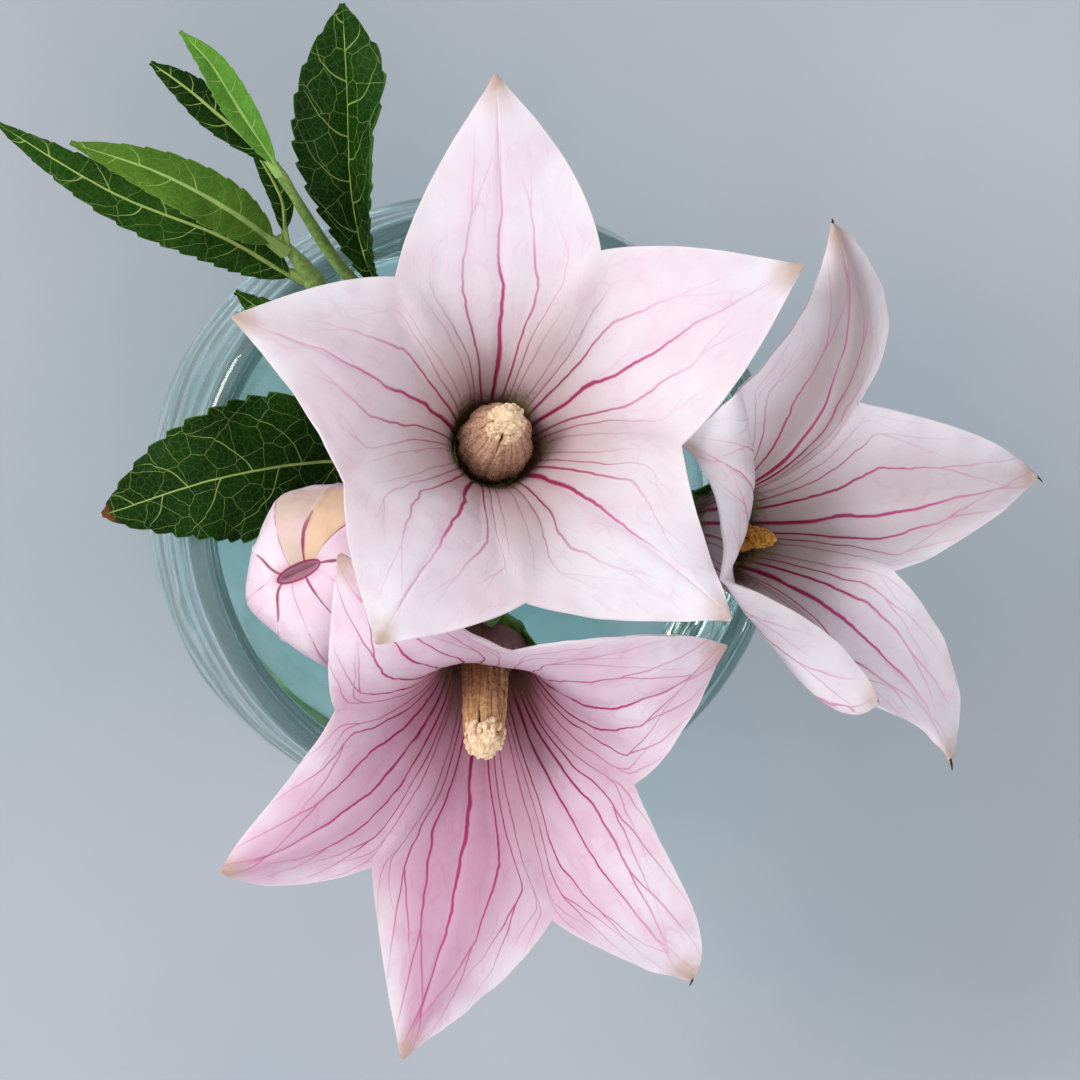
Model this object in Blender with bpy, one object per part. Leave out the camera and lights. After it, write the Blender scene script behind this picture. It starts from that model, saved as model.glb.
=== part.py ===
"""Three balloon flowers, an opening bud and leafy shoots in a thick glass bowl of water.

The plant is Platycodon grandiflorus, the pale pink form.  Lengths here are millimetres,
and every mesh is scaled to metres when it is made.  The origin is the centre of the
bowl's flat foot, with +Z up and +X towards the right-hand flower.
"""
import math
from dataclasses import dataclass

import bmesh
import bpy
from mathutils import Matrix, Vector

MM = 0.001
CLEARANCE = 0.3

# Bowl, a turned shape
BOWL_HEIGHT = 58.0
FOOT_RADIUS = 25.0
BELLY_RADIUS = 42.5
BELLY_HEIGHT = 24.0
RIM_RADIUS = 39.5
WALL = 4.2
RIM_ROLL = 2.3
FLOOR_HEIGHT = 7.0
FLOOR_RADIUS = 20.0
WATER_HEIGHTS = (FLOOR_HEIGHT, 8.5, 11, 16, 24, 34)
BOWL_SEGMENTS = 40

# Plant
PETAL_THICKNESS = 0.5
LEAF_THICKNESS = 0.5
LEAF_END = 0.3
THROAT_RADIUS = 5.0
EDGE_BOW = (0.1, 0.02)
LOBE_COLUMNS = 4
TUBE_ROWS = 5
TIP_ROWS = 5
CALYX_LENGTH = 6.5
CALYX_RADIUS = 5.4
CALYX_SEGMENTS = 20
TOOTH_LENGTH = 6.5
STYLE_RADIUS = 0.8
STYLE_TIP = 3.4
STAMEN_BASE_RING = 3.3
STAMEN_TOP_RING = 1.9
STAMEN_WIDTH = 0.6
STAMEN_FLATNESS = 0.38
BUD_LENGTH = 22.0
BUD_RADIUS = 12.5
BUD_TURN = -18.0
BUD_RIDGE = 0.1
BUD_MOUTH = 1.0
BUD_SLIT_DIRECTION = 15.0
BUD_SLIT_REACH = 2.0
STEM_SIDES = 8
STAMEN_SIDES = 6
LEAF_ROWS = 8
LEAF_COLUMNS = 4
ROOT_HEIGHT = FLOOR_HEIGHT + 0.8

# Colours
GLASS_COLOUR = (0.62, 0.86, 0.86)
WATER_COLOUR = (0.86, 0.95, 0.95)
CALYX_COLOUR = (0.12, 0.28, 0.06)
STAMEN_COLOUR = (0.45, 0.25, 0.1)
STYLE_COLOUR = (0.75, 0.6, 0.42)
STEM_COLOUR = (0.2, 0.35, 0.1)


@dataclass(frozen=True)
class Lobe:
    """One lobe of a corolla: where its tip lies and how its edges and midrib run there.

    Direction, reach and rise place the tip around and along the flower's axis, and crest
    is how high the lobe arches on the way.  Before and after tell how far the two edges
    bow out near their middle and near the tip, as a share of their length; the first edge
    faces the lobe before.  Swing is how far round from the tip the midrib starts, in
    degrees, and fullness is how far out it arches, as a share of the reach.
    """
    direction: float
    reach: float
    rise: float
    crest: float
    before: tuple = EDGE_BOW
    after: tuple = EDGE_BOW
    swing: float = 0.0
    fullness: float = 0.6


@dataclass(frozen=True)
class Bloom:
    """A flower or bud: where its corolla starts, how it leans and the stem below it.

    A cleft is (direction, reach, rise), and cleft i follows lobe i anticlockwise.  The
    stem is listed from the top.
    """
    name: str
    base: tuple
    lean: float
    heading: float
    stem: tuple
    colour: tuple
    lobes: tuple = ()
    clefts: tuple = ()
    stem_radius: float = 1.3
    tooth_spread: float = 2.0
    column: float = 16.5
    column_shift: tuple = (0, 0)


@dataclass(frozen=True)
class Leaf:
    """A blade: points along its midrib, its flat width and the lift of each half.

    A low fullness gives a blade that stays broad near its ends, and peak is where along
    the midrib the blade is broadest.
    """
    name: str
    midrib: tuple
    width: float
    folds: tuple = (8, 8)
    fullness: float = 0.8
    peak: float = 0.42
    colour: tuple = (0.03, 0.13, 0.03)


FLOWERS = (
    Bloom("top_flower", (-1, 8, 65), 12, 90,
          ((-0.6, 3, 46), (1, -2, 26), (2, -5, ROOT_HEIGHT)), (0.9, 0.8, 0.8),
          (Lobe(27, 40, 26, 24), Lobe(93, 42, 26, 24, (0.16, 0.04)),
           Lobe(162, 37, 25, 24, EDGE_BOW, (-0.08, -0.02)), Lobe(237, 34, 25, 25),
           Lobe(314, 36, 25, 25, EDGE_BOW, (-0.05, -0.01))),
          ((62, 24, 21), (129, 23, 20), (201, 23, 21), (271, 23, 21), (351, 21, 20)),
          column_shift=(0, 1.4)),
    Bloom("front_flower", (-1.5, -18, 64), 42, 262,
          ((1, -7, 50), (5, 3, 30), (4, 8, ROOT_HEIGHT)), (0.85, 0.55, 0.62),
          (Lobe(25, 32, 11, 23, (0.02, 0.02), (0.3, 0.12)), Lobe(128, 32, 9, 22),
           Lobe(206, 36.5, 25, 26, (-0.03, 0.06), (0.14, 0.2)),
           Lobe(259.5, 46, 31, 27, (0.02, 0.02), swing=4),
           Lobe(312, 43, 27, 26, (0.1, 0.1), (0.03, 0.19))),
          ((84, 17, 16.5), (166, 20, 16), (232, 22.5, 22), (290, 30, 21), (343, 20, 17)),
          column=19, column_shift=(-0.7, 0)),
    Bloom("right_flower", (28, -3, 63), 40, 357,
          ((16, -4, 48), (3, -8, 28), (-7, -10, ROOT_HEIGHT)), (0.75, 0.6, 0.64),
          (Lobe(13, 35.6, 28, 26, (0.1, 0.06), (0.06, 0.1)),
           Lobe(90.5, 40.5, 19, 25, (0.52, 0.24), (-0.08, -0.1), -8),
           Lobe(145, 22, 9, 22, (0.3, 0.1), (0.12, -0.3)),
           Lobe(278, 20, 26, 22, (-0.14, -0.14), (0, 0), -35, 1.25),
           Lobe(302, 34, 27, 25, (-0.1, -0.14), (0.32, 0.26), 6)),
          ((70, 19, 19), (125, 24, 15), (194, 17, 15), (280, 20, 20), (342, 13, 21)),
          column=11.5),
)
BUD = Bloom("bud", (-16.4, -7.4, 61), 26, 180,
            ((-9, -7, 46), (-1, -12, 28), (4, -15, ROOT_HEIGHT)), (0.85, 0.65, 0.62),
            stem_radius=1.1, tooth_spread=2.9)

# Shoots without a flower: name, route from the bowl's floor, radius
SHOOTS = (
    ("leafy_stem", ((-7, 2, ROOT_HEIGHT), (-10, 12, 30), (-18, 23, 52), (-23.5, 29.5, 62),
                    (-28.5, 35, 67)), 1.15),
    ("sprig_stem", ((16, 5, ROOT_HEIGHT), (8, 14, 32), (-10, 25, 54), (-19.5, 30.5, 63),
                    (-30, 43.5, 76)), 0.8),
)

LEAVES = (
    Leaf("broad_left_leaf", ((-2.5, 3.8, 48), (-18, 6.4, 55.3), (-34.5, 4.6, 61.3),
                             (-50.4, -0.5, 58.5)), 19.4, (-15, 4), 0.76, 0.56),
    Leaf("tucked_leaf", ((-2.8, 6.4, 54), (-14, 17, 61), (-25, 22, 64), (-34, 28, 66)), 9),
    Leaf("tall_leaf", ((-13, 26.6, 59.4), (-17, 32, 64.5), (-19.6, 41, 70), (-20.6, 51, 74.5),
                       (-21.8, 63.3, 78)), 15, (2, 76), 0.9, 0.7),
    Leaf("long_lower_leaf", ((-27, 30.2, 63.5), (-36, 35, 66), (-49.5, 40.3, 66), (-64, 49, 64)),
         8, (5, 5)),
    Leaf("long_upper_leaf", ((-29.5, 34.4, 67.6), (-36, 38.4, 72), (-45, 42.7, 74), (-55, 46, 73)),
         7, (12, 12), colour=(0.1, 0.22, 0.06)),
    Leaf("sprig_light_leaf", ((-30.1, 43.6, 76.7), (-34.9, 50.2, 80), (-38.5, 55.2, 83),
                              (-42.2, 58.9, 84)), 4.4, (20, 20), colour=(0.1, 0.25, 0.04)),
    Leaf("sprig_dark_leaf", ((-30.4, 44, 75.9), (-36.3, 48.8, 77), (-41, 52.6, 77.5),
                             (-45.4, 55.6, 78)), 4.8),
    Leaf("small_dark_leaf", ((-27.9, 35.9, 67.4), (-28.5, 39.4, 69.7), (-30.5, 43, 71.5),
                             (-32.5, 46, 71.5)), 3),
)


def remove_all_objects():
    """Empty the scene so that a second run gives the same objects."""
    for obj in list(bpy.data.objects):
        bpy.data.objects.remove(obj, do_unlink=True)


def add_material(name, colour, roughness, transmission=0.0):
    """Return a Principled material with one colour."""
    material = bpy.data.materials.new(name)
    material.use_nodes = True
    shader = material.node_tree.nodes["Principled BSDF"]
    shader.inputs["Base Color"].default_value = (*colour, 1.0)
    shader.inputs["Roughness"].default_value = roughness
    shader.inputs["Metallic"].default_value = 0.0
    shader.inputs["Transmission Weight"].default_value = transmission
    return material


def add_object(name, mesh_data, material, parent=None):
    """Turn a bmesh in millimetres into a named, smooth object in metres."""
    bmesh.ops.recalc_face_normals(mesh_data, faces=mesh_data.faces)
    bmesh.ops.scale(mesh_data, vec=(MM, MM, MM), verts=mesh_data.verts)
    mesh = bpy.data.meshes.new(name)
    mesh_data.to_mesh(mesh)
    mesh_data.free()
    mesh.materials.append(material)
    mesh.shade_smooth()
    mesh.set_sharp_from_angle(angle=math.radians(40))
    obj = bpy.data.objects.new(name, mesh)
    bpy.context.scene.collection.objects.link(obj)
    obj.parent = parent
    return obj


def thicken(obj, thickness):
    """Give a surface its thickness, half to each side."""
    solid = obj.modifiers.new("thickness", "SOLIDIFY")
    solid.thickness = thickness * MM
    solid.offset = 0.0


def blend(start, end, amount):
    """Linear mix of two numbers or vectors."""
    return start + (end - start) * amount


def bezier(points, t):
    """Point at t on the Bezier curve with any number of control points."""
    points = [Vector(point) for point in points]
    while len(points) > 1:
        points = [a.lerp(b, t) for a, b in zip(points, points[1:])]
    return points[0]


def spline(points, t):
    """Point at t (0 to 1) on a smooth curve through all the points."""
    points = [Vector(point) for point in points]
    points = [points[0] * 2 - points[1], *points, points[-1] * 2 - points[-2]]
    place = min(t, 0.999999) * (len(points) - 3)
    i = int(place)
    f = place - i
    a, b, c, d = points[i:i + 4]
    return 0.5 * (2 * b + (c - a) * f + (2 * a - 5 * b + 4 * c - d) * f ** 2
                  + (3 * b - a - 3 * c + d) * f ** 3)


def add_rings(mesh_data, rings):
    """Join closed rings of points with quads and cap both ends."""
    loops = [[mesh_data.verts.new(point) for point in ring] for ring in rings]
    for lower, upper in zip(loops, loops[1:]):
        for i in range(len(lower)):
            j = (i + 1) % len(lower)
            mesh_data.faces.new((lower[i], lower[j], upper[j], upper[i]))
    mesh_data.faces.new(list(reversed(loops[0])))
    mesh_data.faces.new(loops[-1])
    return loops


def turned(profile, segments):
    """Bmesh of a profile of (radius, height) turned about Z; it starts and ends at a cap."""
    mesh_data = bmesh.new()
    rings = [[(radius * math.cos(turn), radius * math.sin(turn), height)
              for turn in (2 * math.pi * i / segments for i in range(segments))]
             for radius, height in profile]
    add_rings(mesh_data, rings)
    return mesh_data


def tube(mesh_data, points, radius, sides, flatness=1.0, side=None):
    """Add a capped tube with an elliptic section along a list of points."""
    points = [Vector(point) for point in points]
    rings = []
    for i, point in enumerate(points):
        along = (points[min(i + 1, len(points) - 1)] - points[max(i - 1, 0)]).normalized()
        if side is None:
            side = along.orthogonal().normalized()
        side = (side - along * side.dot(along)).normalized()
        other = along.cross(side)
        size = radius(i / (len(points) - 1)) if callable(radius) else radius
        rings.append([point + size * (side * math.cos(turn) + other * flatness * math.sin(turn))
                      for turn in (2 * math.pi * k / sides for k in range(sides))])
    add_rings(mesh_data, rings)


def bowl_outside(height):
    """Outer radius of the bowl at a height."""
    if height < BELLY_HEIGHT:
        drop = 1 - height / BELLY_HEIGHT
        return BELLY_RADIUS - (BELLY_RADIUS - FOOT_RADIUS) * drop ** 2.4
    climb = (height - BELLY_HEIGHT) / (BOWL_HEIGHT - BELLY_HEIGHT)
    return BELLY_RADIUS - (BELLY_RADIUS - RIM_RADIUS) * climb ** 2


def bowl_inside(height):
    """Inner radius of the bowl at a height."""
    wall = bowl_outside(height) - WALL
    if height >= BELLY_HEIGHT:
        return wall
    drop = 1 - (height - FLOOR_HEIGHT) / (BELLY_HEIGHT - FLOOR_HEIGHT)
    return BELLY_RADIUS - WALL - (BELLY_RADIUS - WALL - FLOOR_RADIUS) * max(drop, 0) ** 2.2


def make_bowl():
    """The glass bowl: flat foot, round belly and a rolled rim."""
    shoulder = BOWL_HEIGHT - RIM_ROLL
    outer = [(bowl_outside(z), z) for z in (1, 4, 9, 16, 24, 34, 46, shoulder)]
    inner = [(bowl_inside(z), z) for z in (shoulder, 46, *reversed(WATER_HEIGHTS))]
    middle = (outer[-1][0] + inner[0][0]) / 2
    half = (outer[-1][0] - inner[0][0]) / 2
    rim = [(middle + half * math.cos(turn), shoulder + RIM_ROLL * math.sin(turn))
           for turn in (math.radians(a) for a in (30, 60, 90, 120, 150))]
    profile = [(FOOT_RADIUS - 1, 0), *outer, *rim, *inner]
    glass = add_material("glass_bowl", GLASS_COLOUR, 0.03, 1.0)
    add_object("glass_bowl", turned(profile, BOWL_SEGMENTS), glass)


def make_water(routes):
    """The water in the bowl, with a clear channel for each stem."""
    profile = [(bowl_inside(z) - CLEARANCE, z + CLEARANCE) for z in WATER_HEIGHTS]
    material = add_material("water", WATER_COLOUR, 0.02, 1.0)
    water = add_object("water", turned(profile, BOWL_SEGMENTS), material)
    cutters = bmesh.new()
    for points, radius in routes:
        points = [point for point in points if point.z < WATER_HEIGHTS[-1] + 8]
        points.insert(0, points[0].lerp(points[1], -1))
        tube(cutters, points, radius + CLEARANCE, STEM_SIDES)
    cutter = add_object("stem_channels", cutters, material)
    cutter.hide_render = True
    cutter.display_type = "WIRE"
    cut = water.modifiers.new("channels", "BOOLEAN")
    cut.operation = "DIFFERENCE"
    cut.object = cutter


def flower_axis(flower):
    """Empty at the corolla's base, with +Z along the flower's axis."""
    heading = math.radians(flower.heading)
    turn = Matrix.Rotation(heading, 4, "Z")
    lean = Matrix.Rotation(math.radians(flower.lean), 4, "Y")
    axis = bpy.data.objects.new(flower.name + "_axis", None)
    axis.matrix_world = Matrix.Translation(Vector(flower.base) * MM) @ turn @ lean @ turn.inverted()
    bpy.context.scene.collection.objects.link(axis)
    return axis


def polar(direction, reach, rise):
    """Point from its direction in degrees, reach and rise."""
    angle = math.radians(direction)
    return Vector((reach * math.cos(angle), reach * math.sin(angle), rise))


def rib(lobe, t):
    """Reach and rise at t on the curve from the throat to a lobe's tip."""
    return bezier(((THROAT_RADIUS, 0, 0), (THROAT_RADIUS + 2, 0.55 * lobe.crest, 0),
                   (lobe.fullness * lobe.reach, lobe.crest, 0), (lobe.reach, lobe.rise, 0)), t)


def seam(reach, rise, t):
    """Reach and rise at t on the curve from the throat to a cleft."""
    return bezier(((THROAT_RADIUS, 0, 0), (THROAT_RADIUS + 1.5, 0.6 * rise, 0),
                   (0.7 * reach, 0.95 * rise, 0), (reach, rise, 0)), t)


def margin(cleft, tip, crest, side, bow, t):
    """Point at t on a lobe's free edge, from its cleft to its tip."""
    start = polar(*cleft)
    along = tip - start
    aside = Vector((0, 0, 1)).cross(along).normalized() * side
    belly = start + along * 0.4 + aside * bow[0] * along.length
    belly.z = blend(start.z, max(crest, tip.z), 0.5)
    shoulder = start + along * 0.8 + aside * bow[1] * along.length
    return bezier((start, belly, shoulder, tip + aside * 0.4), t)


def smooth_step(low, high, value):
    """Ease from 0 at low to 1 at high."""
    t = min(max((value - low) / (high - low), 0), 1)
    return t * t * (3 - 2 * t)


def lobe_point(flower, i, u, v):
    """Point on lobe i: u runs across from cleft to cleft, v from the throat to the tip.

    Near the throat the lobes blend into one round bell, and past the clefts each lobe
    spans its own rib and margins.
    """
    split = TUBE_ROWS / (TUBE_ROWS + TIP_ROWS)
    lobe = flower.lobes[i]
    clefts = (flower.clefts[i - 1], flower.clefts[i])
    middle = rib(lobe, v)
    direction = lobe.direction + lobe.swing * (1 - v * v)
    middle_point = polar(direction, middle.x, middle.y)
    if v <= split:
        seams = [seam(cleft[1], cleft[2], v / split) for cleft in clefts]
        edges = [polar(cleft[0], place.x, place.y) for cleft, place in zip(clefts, seams)]
    else:
        t = (v - split) / (1 - split)
        tip = polar(lobe.direction, lobe.reach, lobe.rise)
        edges = [margin(cleft, tip, lobe.crest, side, bow, t)
                 for cleft, side, bow in zip(clefts, (-1, 1), (lobe.before, lobe.after))]
    spanned = (edges[0] * (u * (u - 1) / 2) + middle_point * (1 - u * u)
               + edges[1] * (u * (u + 1) / 2))
    if v > split:
        return spanned
    near = int(u > 0)
    share = (1 + math.cos(math.pi * u)) / 2
    place = seams[near].lerp(middle, share)
    turn = (clefts[near][0] - direction + 180) % 360 - 180
    round_bell = polar(direction + turn * abs(u), place.x, place.y)
    return round_bell.lerp(spanned, smooth_step(0.4 * split, split, v))


def bud_point(i, u, v):
    """Point on the closed, five-angled balloon, whose seams end round a slit."""
    place = bezier(((THROAT_RADIUS, 0, 0), (1.05 * BUD_RADIUS, 0.1 * BUD_LENGTH, 0),
                    (1.36 * BUD_RADIUS, 0.9 * BUD_LENGTH, 0), (0.5 * BUD_RADIUS, BUD_LENGTH, 0),
                    (BUD_MOUTH, 0.93 * BUD_LENGTH, 0)), v)
    flat = 1 - BUD_RIDGE * abs(u) * (2 - abs(u)) * math.sin(math.pi * v)
    turn = BUD_TURN + 72 * i + 36 * u
    slit = math.cos(math.radians(turn - BUD_SLIT_DIRECTION)) * smooth_step(0.75, 1, v)
    return (polar(turn, place.x * flat, place.y)
            + polar(BUD_SLIT_DIRECTION, BUD_SLIT_REACH * slit, 0))


def add_lobes(mesh_data, place, rows, columns):
    """Five grids of faces side by side, welded along their seams."""
    for i in range(5):
        grid = [[mesh_data.verts.new(place(i, 2 * column / columns - 1, row / rows))
                 for column in range(columns + 1)] for row in range(rows + 1)]
        add_grid_faces(mesh_data, grid)
    bmesh.ops.remove_doubles(mesh_data, verts=mesh_data.verts, dist=0.01)


def add_grid_faces(mesh_data, grid):
    """Quads between the neighbouring points of a grid."""
    for lower, upper in zip(grid, grid[1:]):
        for a, b, c, d in zip(lower, lower[1:], upper[1:], upper):
            mesh_data.faces.new((a, b, c, d))


def make_corolla(bloom, axis, place):
    """The five fused petals as one thin bell."""
    mesh_data = bmesh.new()
    add_lobes(mesh_data, place, TUBE_ROWS + TIP_ROWS, LOBE_COLUMNS)
    name = bloom.name + "_corolla"
    corolla = add_object(name, mesh_data, add_material(name, bloom.colour, 0.55), axis)
    thicken(corolla, PETAL_THICKNESS)


def make_calyx(bloom, axis):
    """The green ovary under the corolla, with its five pointed teeth."""
    mesh_data = bmesh.new()
    profile = ((1.5, -CALYX_LENGTH), (0.62 * CALYX_RADIUS, -0.8 * CALYX_LENGTH),
               (0.88 * CALYX_RADIUS, -0.45 * CALYX_LENGTH), (CALYX_RADIUS + 0.8, -1.3),
               (CALYX_RADIUS - 0.2, -PETAL_THICKNESS - CLEARANCE))
    rings = [[polar(360 * i / CALYX_SEGMENTS, radius, height) for i in range(CALYX_SEGMENTS)]
             for radius, height in profile]
    loops = add_rings(mesh_data, rings)
    for i in range(5):
        grow_tooth(mesh_data, loops, i * CALYX_SEGMENTS // 5, bloom.tooth_spread)
    name = bloom.name + "_calyx"
    add_object(name, mesh_data, add_material(name, CALYX_COLOUR, 0.5), axis)


def grow_tooth(mesh_data, loops, start, spread):
    """Extrude two faces of the calyx's shoulder into a pointed tooth."""
    middle = loops[-2][start + 1]
    faces = [face for face in middle.link_faces if loops[-1][start + 1] in face.verts]
    for outward, upward, taper in ((spread, 0.25, 0.7), (spread, 0.75, 0.2)):
        grown = bmesh.ops.extrude_face_region(mesh_data, geom=faces)["geom"]
        bmesh.ops.delete(mesh_data, geom=faces, context="FACES")
        verts = [item for item in grown if isinstance(item, bmesh.types.BMVert)]
        faces = [item for item in grown if isinstance(item, bmesh.types.BMFace)]
        centre = sum((vert.co for vert in verts), Vector()) / len(verts)
        away = Vector((centre.x, centre.y, 0)).normalized()
        shift = away * outward + Vector((0, 0, upward * TOOTH_LENGTH))
        for vert in verts:
            vert.co = centre.lerp(vert.co, taper) + shift


def stamen_ring(t):
    """Distance of a stamen from the flower's axis, from its foot (0) to its end (1)."""
    return blend(STAMEN_BASE_RING, STAMEN_TOP_RING, math.sqrt(t))


def column_centre(flower, height):
    """Centre of the column of stamens, which may lean a little towards its end."""
    share = max(height, 0) / flower.column
    return Vector((*flower.column_shift, 0)) * share ** 1.5


def make_stamens(flower, axis):
    """Five separate stamens with broad feet, pressed round the style."""
    length = flower.column - STYLE_TIP
    for i in range(5):
        points = [polar(72 * i, stamen_ring(t), blend(CLEARANCE, length, t))
                  for t in (0, 0.12, 0.35, 0.75, 1)]
        points = [point + column_centre(flower, point.z) for point in points]
        mesh_data = bmesh.new()
        tube(mesh_data, points, lambda t: STAMEN_WIDTH * stamen_ring(t), STAMEN_SIDES,
             STAMEN_FLATNESS, polar(72 * i + 90, 1, 0))
        name = f"{flower.name}_stamen_{i + 1}"
        add_object(name, mesh_data, add_material(name, STAMEN_COLOUR, 0.8), axis)


def make_style(flower, axis):
    """The style with its blunt, pollen-covered end."""
    neck = flower.column - STYLE_TIP + 2 * CLEARANCE
    profile = ((STYLE_RADIUS, CLEARANCE), (STYLE_RADIUS, 0.3 * neck), (STYLE_RADIUS, 0.7 * neck),
               (STYLE_RADIUS, neck), (2.0, neck + 0.3), (2.3, neck + 1.1), (1.8, neck + 2.1),
               (0.7, flower.column))
    name = flower.name + "_style"
    mesh_data = turned(profile, 10)
    for vert in mesh_data.verts:
        vert.co += column_centre(flower, vert.co.z)
    add_object(name, mesh_data, add_material(name, STYLE_COLOUR, 0.85), axis)


def stem_route(bloom, axis):
    """Smooth points from the bowl's floor to just under the ovary."""
    top = axis.matrix_world @ (Vector((0, 0, -CALYX_LENGTH - CLEARANCE)) * MM) / MM
    under = axis.matrix_world @ (Vector((0, 0, -CALYX_LENGTH - 5)) * MM) / MM
    points = [*reversed(bloom.stem), under, top]
    return [spline(points, i / 12) for i in range(13)]


def make_stem(name, points, radius):
    """A round green stem."""
    mesh_data = bmesh.new()
    tube(mesh_data, points, radius, STEM_SIDES)
    add_object(name, mesh_data, add_material(name, STEM_COLOUR, 0.5))


def leaf_width(leaf, t):
    """Half-width of a blade along its midrib."""
    skewed = t ** (math.log(0.5) / math.log(leaf.peak))
    return max(leaf.width / 2 * abs(math.sin(math.pi * skewed)) ** leaf.fullness, LEAF_END)


def make_leaf(leaf):
    """A thin blade, folded along its midrib."""
    mesh_data = bmesh.new()
    grid = []
    for row in range(LEAF_ROWS + 1):
        t = row / LEAF_ROWS
        centre = spline(leaf.midrib, t)
        ahead = (spline(leaf.midrib, min(t + 0.02, 1)) - spline(leaf.midrib, max(t - 0.02, 0)))
        ahead.normalize()
        side = ahead.cross(Vector((0, 0, 1))).normalized()
        up = side.cross(ahead)
        half = leaf_width(leaf, t)
        line = []
        for column in range(LEAF_COLUMNS + 1):
            u = 2 * column / LEAF_COLUMNS - 1
            lift = math.radians(leaf.folds[int(u > 0)])
            out = side * math.copysign(math.cos(lift), u) + up * math.sin(lift)
            line.append(mesh_data.verts.new(centre + out * abs(u) * half))
        grid.append(line)
    add_grid_faces(mesh_data, grid)
    obj = add_object(leaf.name, mesh_data, add_material(leaf.name, leaf.colour, 0.45))
    thicken(obj, LEAF_THICKNESS)


def make_flower(flower):
    """One open bloom; returns its stem's route."""
    axis = flower_axis(flower)
    make_corolla(flower, axis, lambda i, u, v: lobe_point(flower, i, u, v))
    make_calyx(flower, axis)
    make_stamens(flower, axis)
    make_style(flower, axis)
    route = stem_route(flower, axis)
    make_stem(flower.name + "_stem", route, flower.stem_radius)
    return route


def make_bud():
    """The balloon-shaped bud, open only at its tip; returns its stem's route."""
    axis = flower_axis(BUD)
    make_corolla(BUD, axis, bud_point)
    make_calyx(BUD, axis)
    route = stem_route(BUD, axis)
    make_stem("bud_stem", route, BUD.stem_radius)
    return route


def main():
    """Build every piece."""
    remove_all_objects()
    make_bowl()
    routes = [(make_flower(flower), flower.stem_radius) for flower in FLOWERS]
    routes.append((make_bud(), BUD.stem_radius))
    for name, points, radius in SHOOTS:
        route = [spline(points, i / 14) for i in range(15)]
        make_stem(name, route, radius)
        routes.append((route, radius))
    make_water(routes)
    for leaf in LEAVES:
        make_leaf(leaf)
    bpy.context.view_layer.update()


main()
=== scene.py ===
"""Finished surfaces for three balloon flowers, a bud and leafy shoots in a glass bowl.

The plant is Platycodon grandiflorus, the pale pink form.  Sizes are in millimetres and
become metres where a mesh is made.  The origin is the centre of the bowl's flat foot,
with +Z up and +X towards the right-hand flower.
"""
import logging
import math
import random
from dataclasses import dataclass
from enum import Enum
from typing import Callable, Sequence

import bpy
import numpy as np
from mathutils import Matrix, Vector, noise


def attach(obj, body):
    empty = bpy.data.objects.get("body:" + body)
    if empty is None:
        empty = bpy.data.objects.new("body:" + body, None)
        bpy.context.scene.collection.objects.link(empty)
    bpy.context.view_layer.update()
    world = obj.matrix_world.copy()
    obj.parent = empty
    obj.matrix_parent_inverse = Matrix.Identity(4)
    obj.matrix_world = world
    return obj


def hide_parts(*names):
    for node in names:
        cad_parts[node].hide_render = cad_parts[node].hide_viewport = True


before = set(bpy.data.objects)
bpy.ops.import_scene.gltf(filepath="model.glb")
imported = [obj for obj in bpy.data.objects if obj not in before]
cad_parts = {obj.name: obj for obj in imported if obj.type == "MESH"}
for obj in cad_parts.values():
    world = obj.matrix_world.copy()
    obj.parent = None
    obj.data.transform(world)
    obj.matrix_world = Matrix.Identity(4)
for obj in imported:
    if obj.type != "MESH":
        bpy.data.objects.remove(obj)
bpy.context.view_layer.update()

LOG = logging.getLogger("balloon_flowers")
MM = 0.001
Piece = bpy.types.Object
Place = Sequence[float]
Colour = tuple[float, float, float]

# Bowl, a turned shape
BOWL_HEIGHT = 58.0
FOOT_RADIUS = 25.0
BELLY_RADIUS = 42.5
BELLY_HEIGHT = 24.0
RIM_RADIUS = 39.5
WALL = 4.2
RIM_ROLL = 2.3
FLOOR_HEIGHT = 7.0
FLOOR_RADIUS = 20.0
WATER_TOP = 34.3
ROOT_HEIGHT = FLOOR_HEIGHT + 0.8

# Petals, column, bud and leaves
THROAT_RADIUS = 5.0
SPLIT = 0.5
EDGE_BOW = (0.1, 0.02)
CALYX_LENGTH = 6.5
CALYX_RADIUS = 5.4
TOOTH_LENGTH = 6.5
STYLE_TIP = 3.4
BUD_LENGTH = 22.0
BUD_RADIUS = 12.5
BUD_TURN = -18.0
BUD_RIDGE = 0.1
BUD_MOUTH = 1.0
BUD_SLIT_DIRECTION = 24.0
BUD_SLIT_REACH = 2.0
BUD_MOUTH_SHIFT = (-2.0, 0.5)
BUD_LIP = 0.95
LEAF_END = 0.3
COLUMN_BULGE = 1.36
HAIRS = 420
HAIR_RING = 2.9
HAIR_RING_WIDTH = 1.9
CRUMBS = 130
STEM_GAP = 0.3
PETALS = 5
FIFTH = 360 / PETALS
PETAL_THICKNESS = 0.42
LEAF_THICKNESS = 0.38

# Fineness of the meshes
ROUND_STEPS = 60
STEM_STEPS = 72
RIB_STEPS = 48
THREAD_STEPS = 10
LOBE_GRID = (44, 84)
ANTHER_GRID = (36, 60)
LEAF_GRID = (24, 150)
LOBE_WELD = 0.02
ANTHER_WELD = 0.01
FINE_WELD = 0.002
SHARP_ANGLE = 55

# Floor and light, in metres
FLOOR_SIZE = 8
FLOOR_DROP = 0.0002
FLOWER_HEIGHT = 0.06
FLOOR_COLOURS = ((0.37, 0.405, 0.455), (0.415, 0.435, 0.475))
ROOM_COLOUR = (0.95, 0.97, 1.0)
ROOM_LIGHT = 0.6

# Colours that several petals or leaves share
LIT_EDGE = (0.95, 0.88, 0.90)
DRY_THREAD = (0.045, 0.022, 0.018)
DEAD_LEAF = (0.16, 0.06, 0.02)


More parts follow.
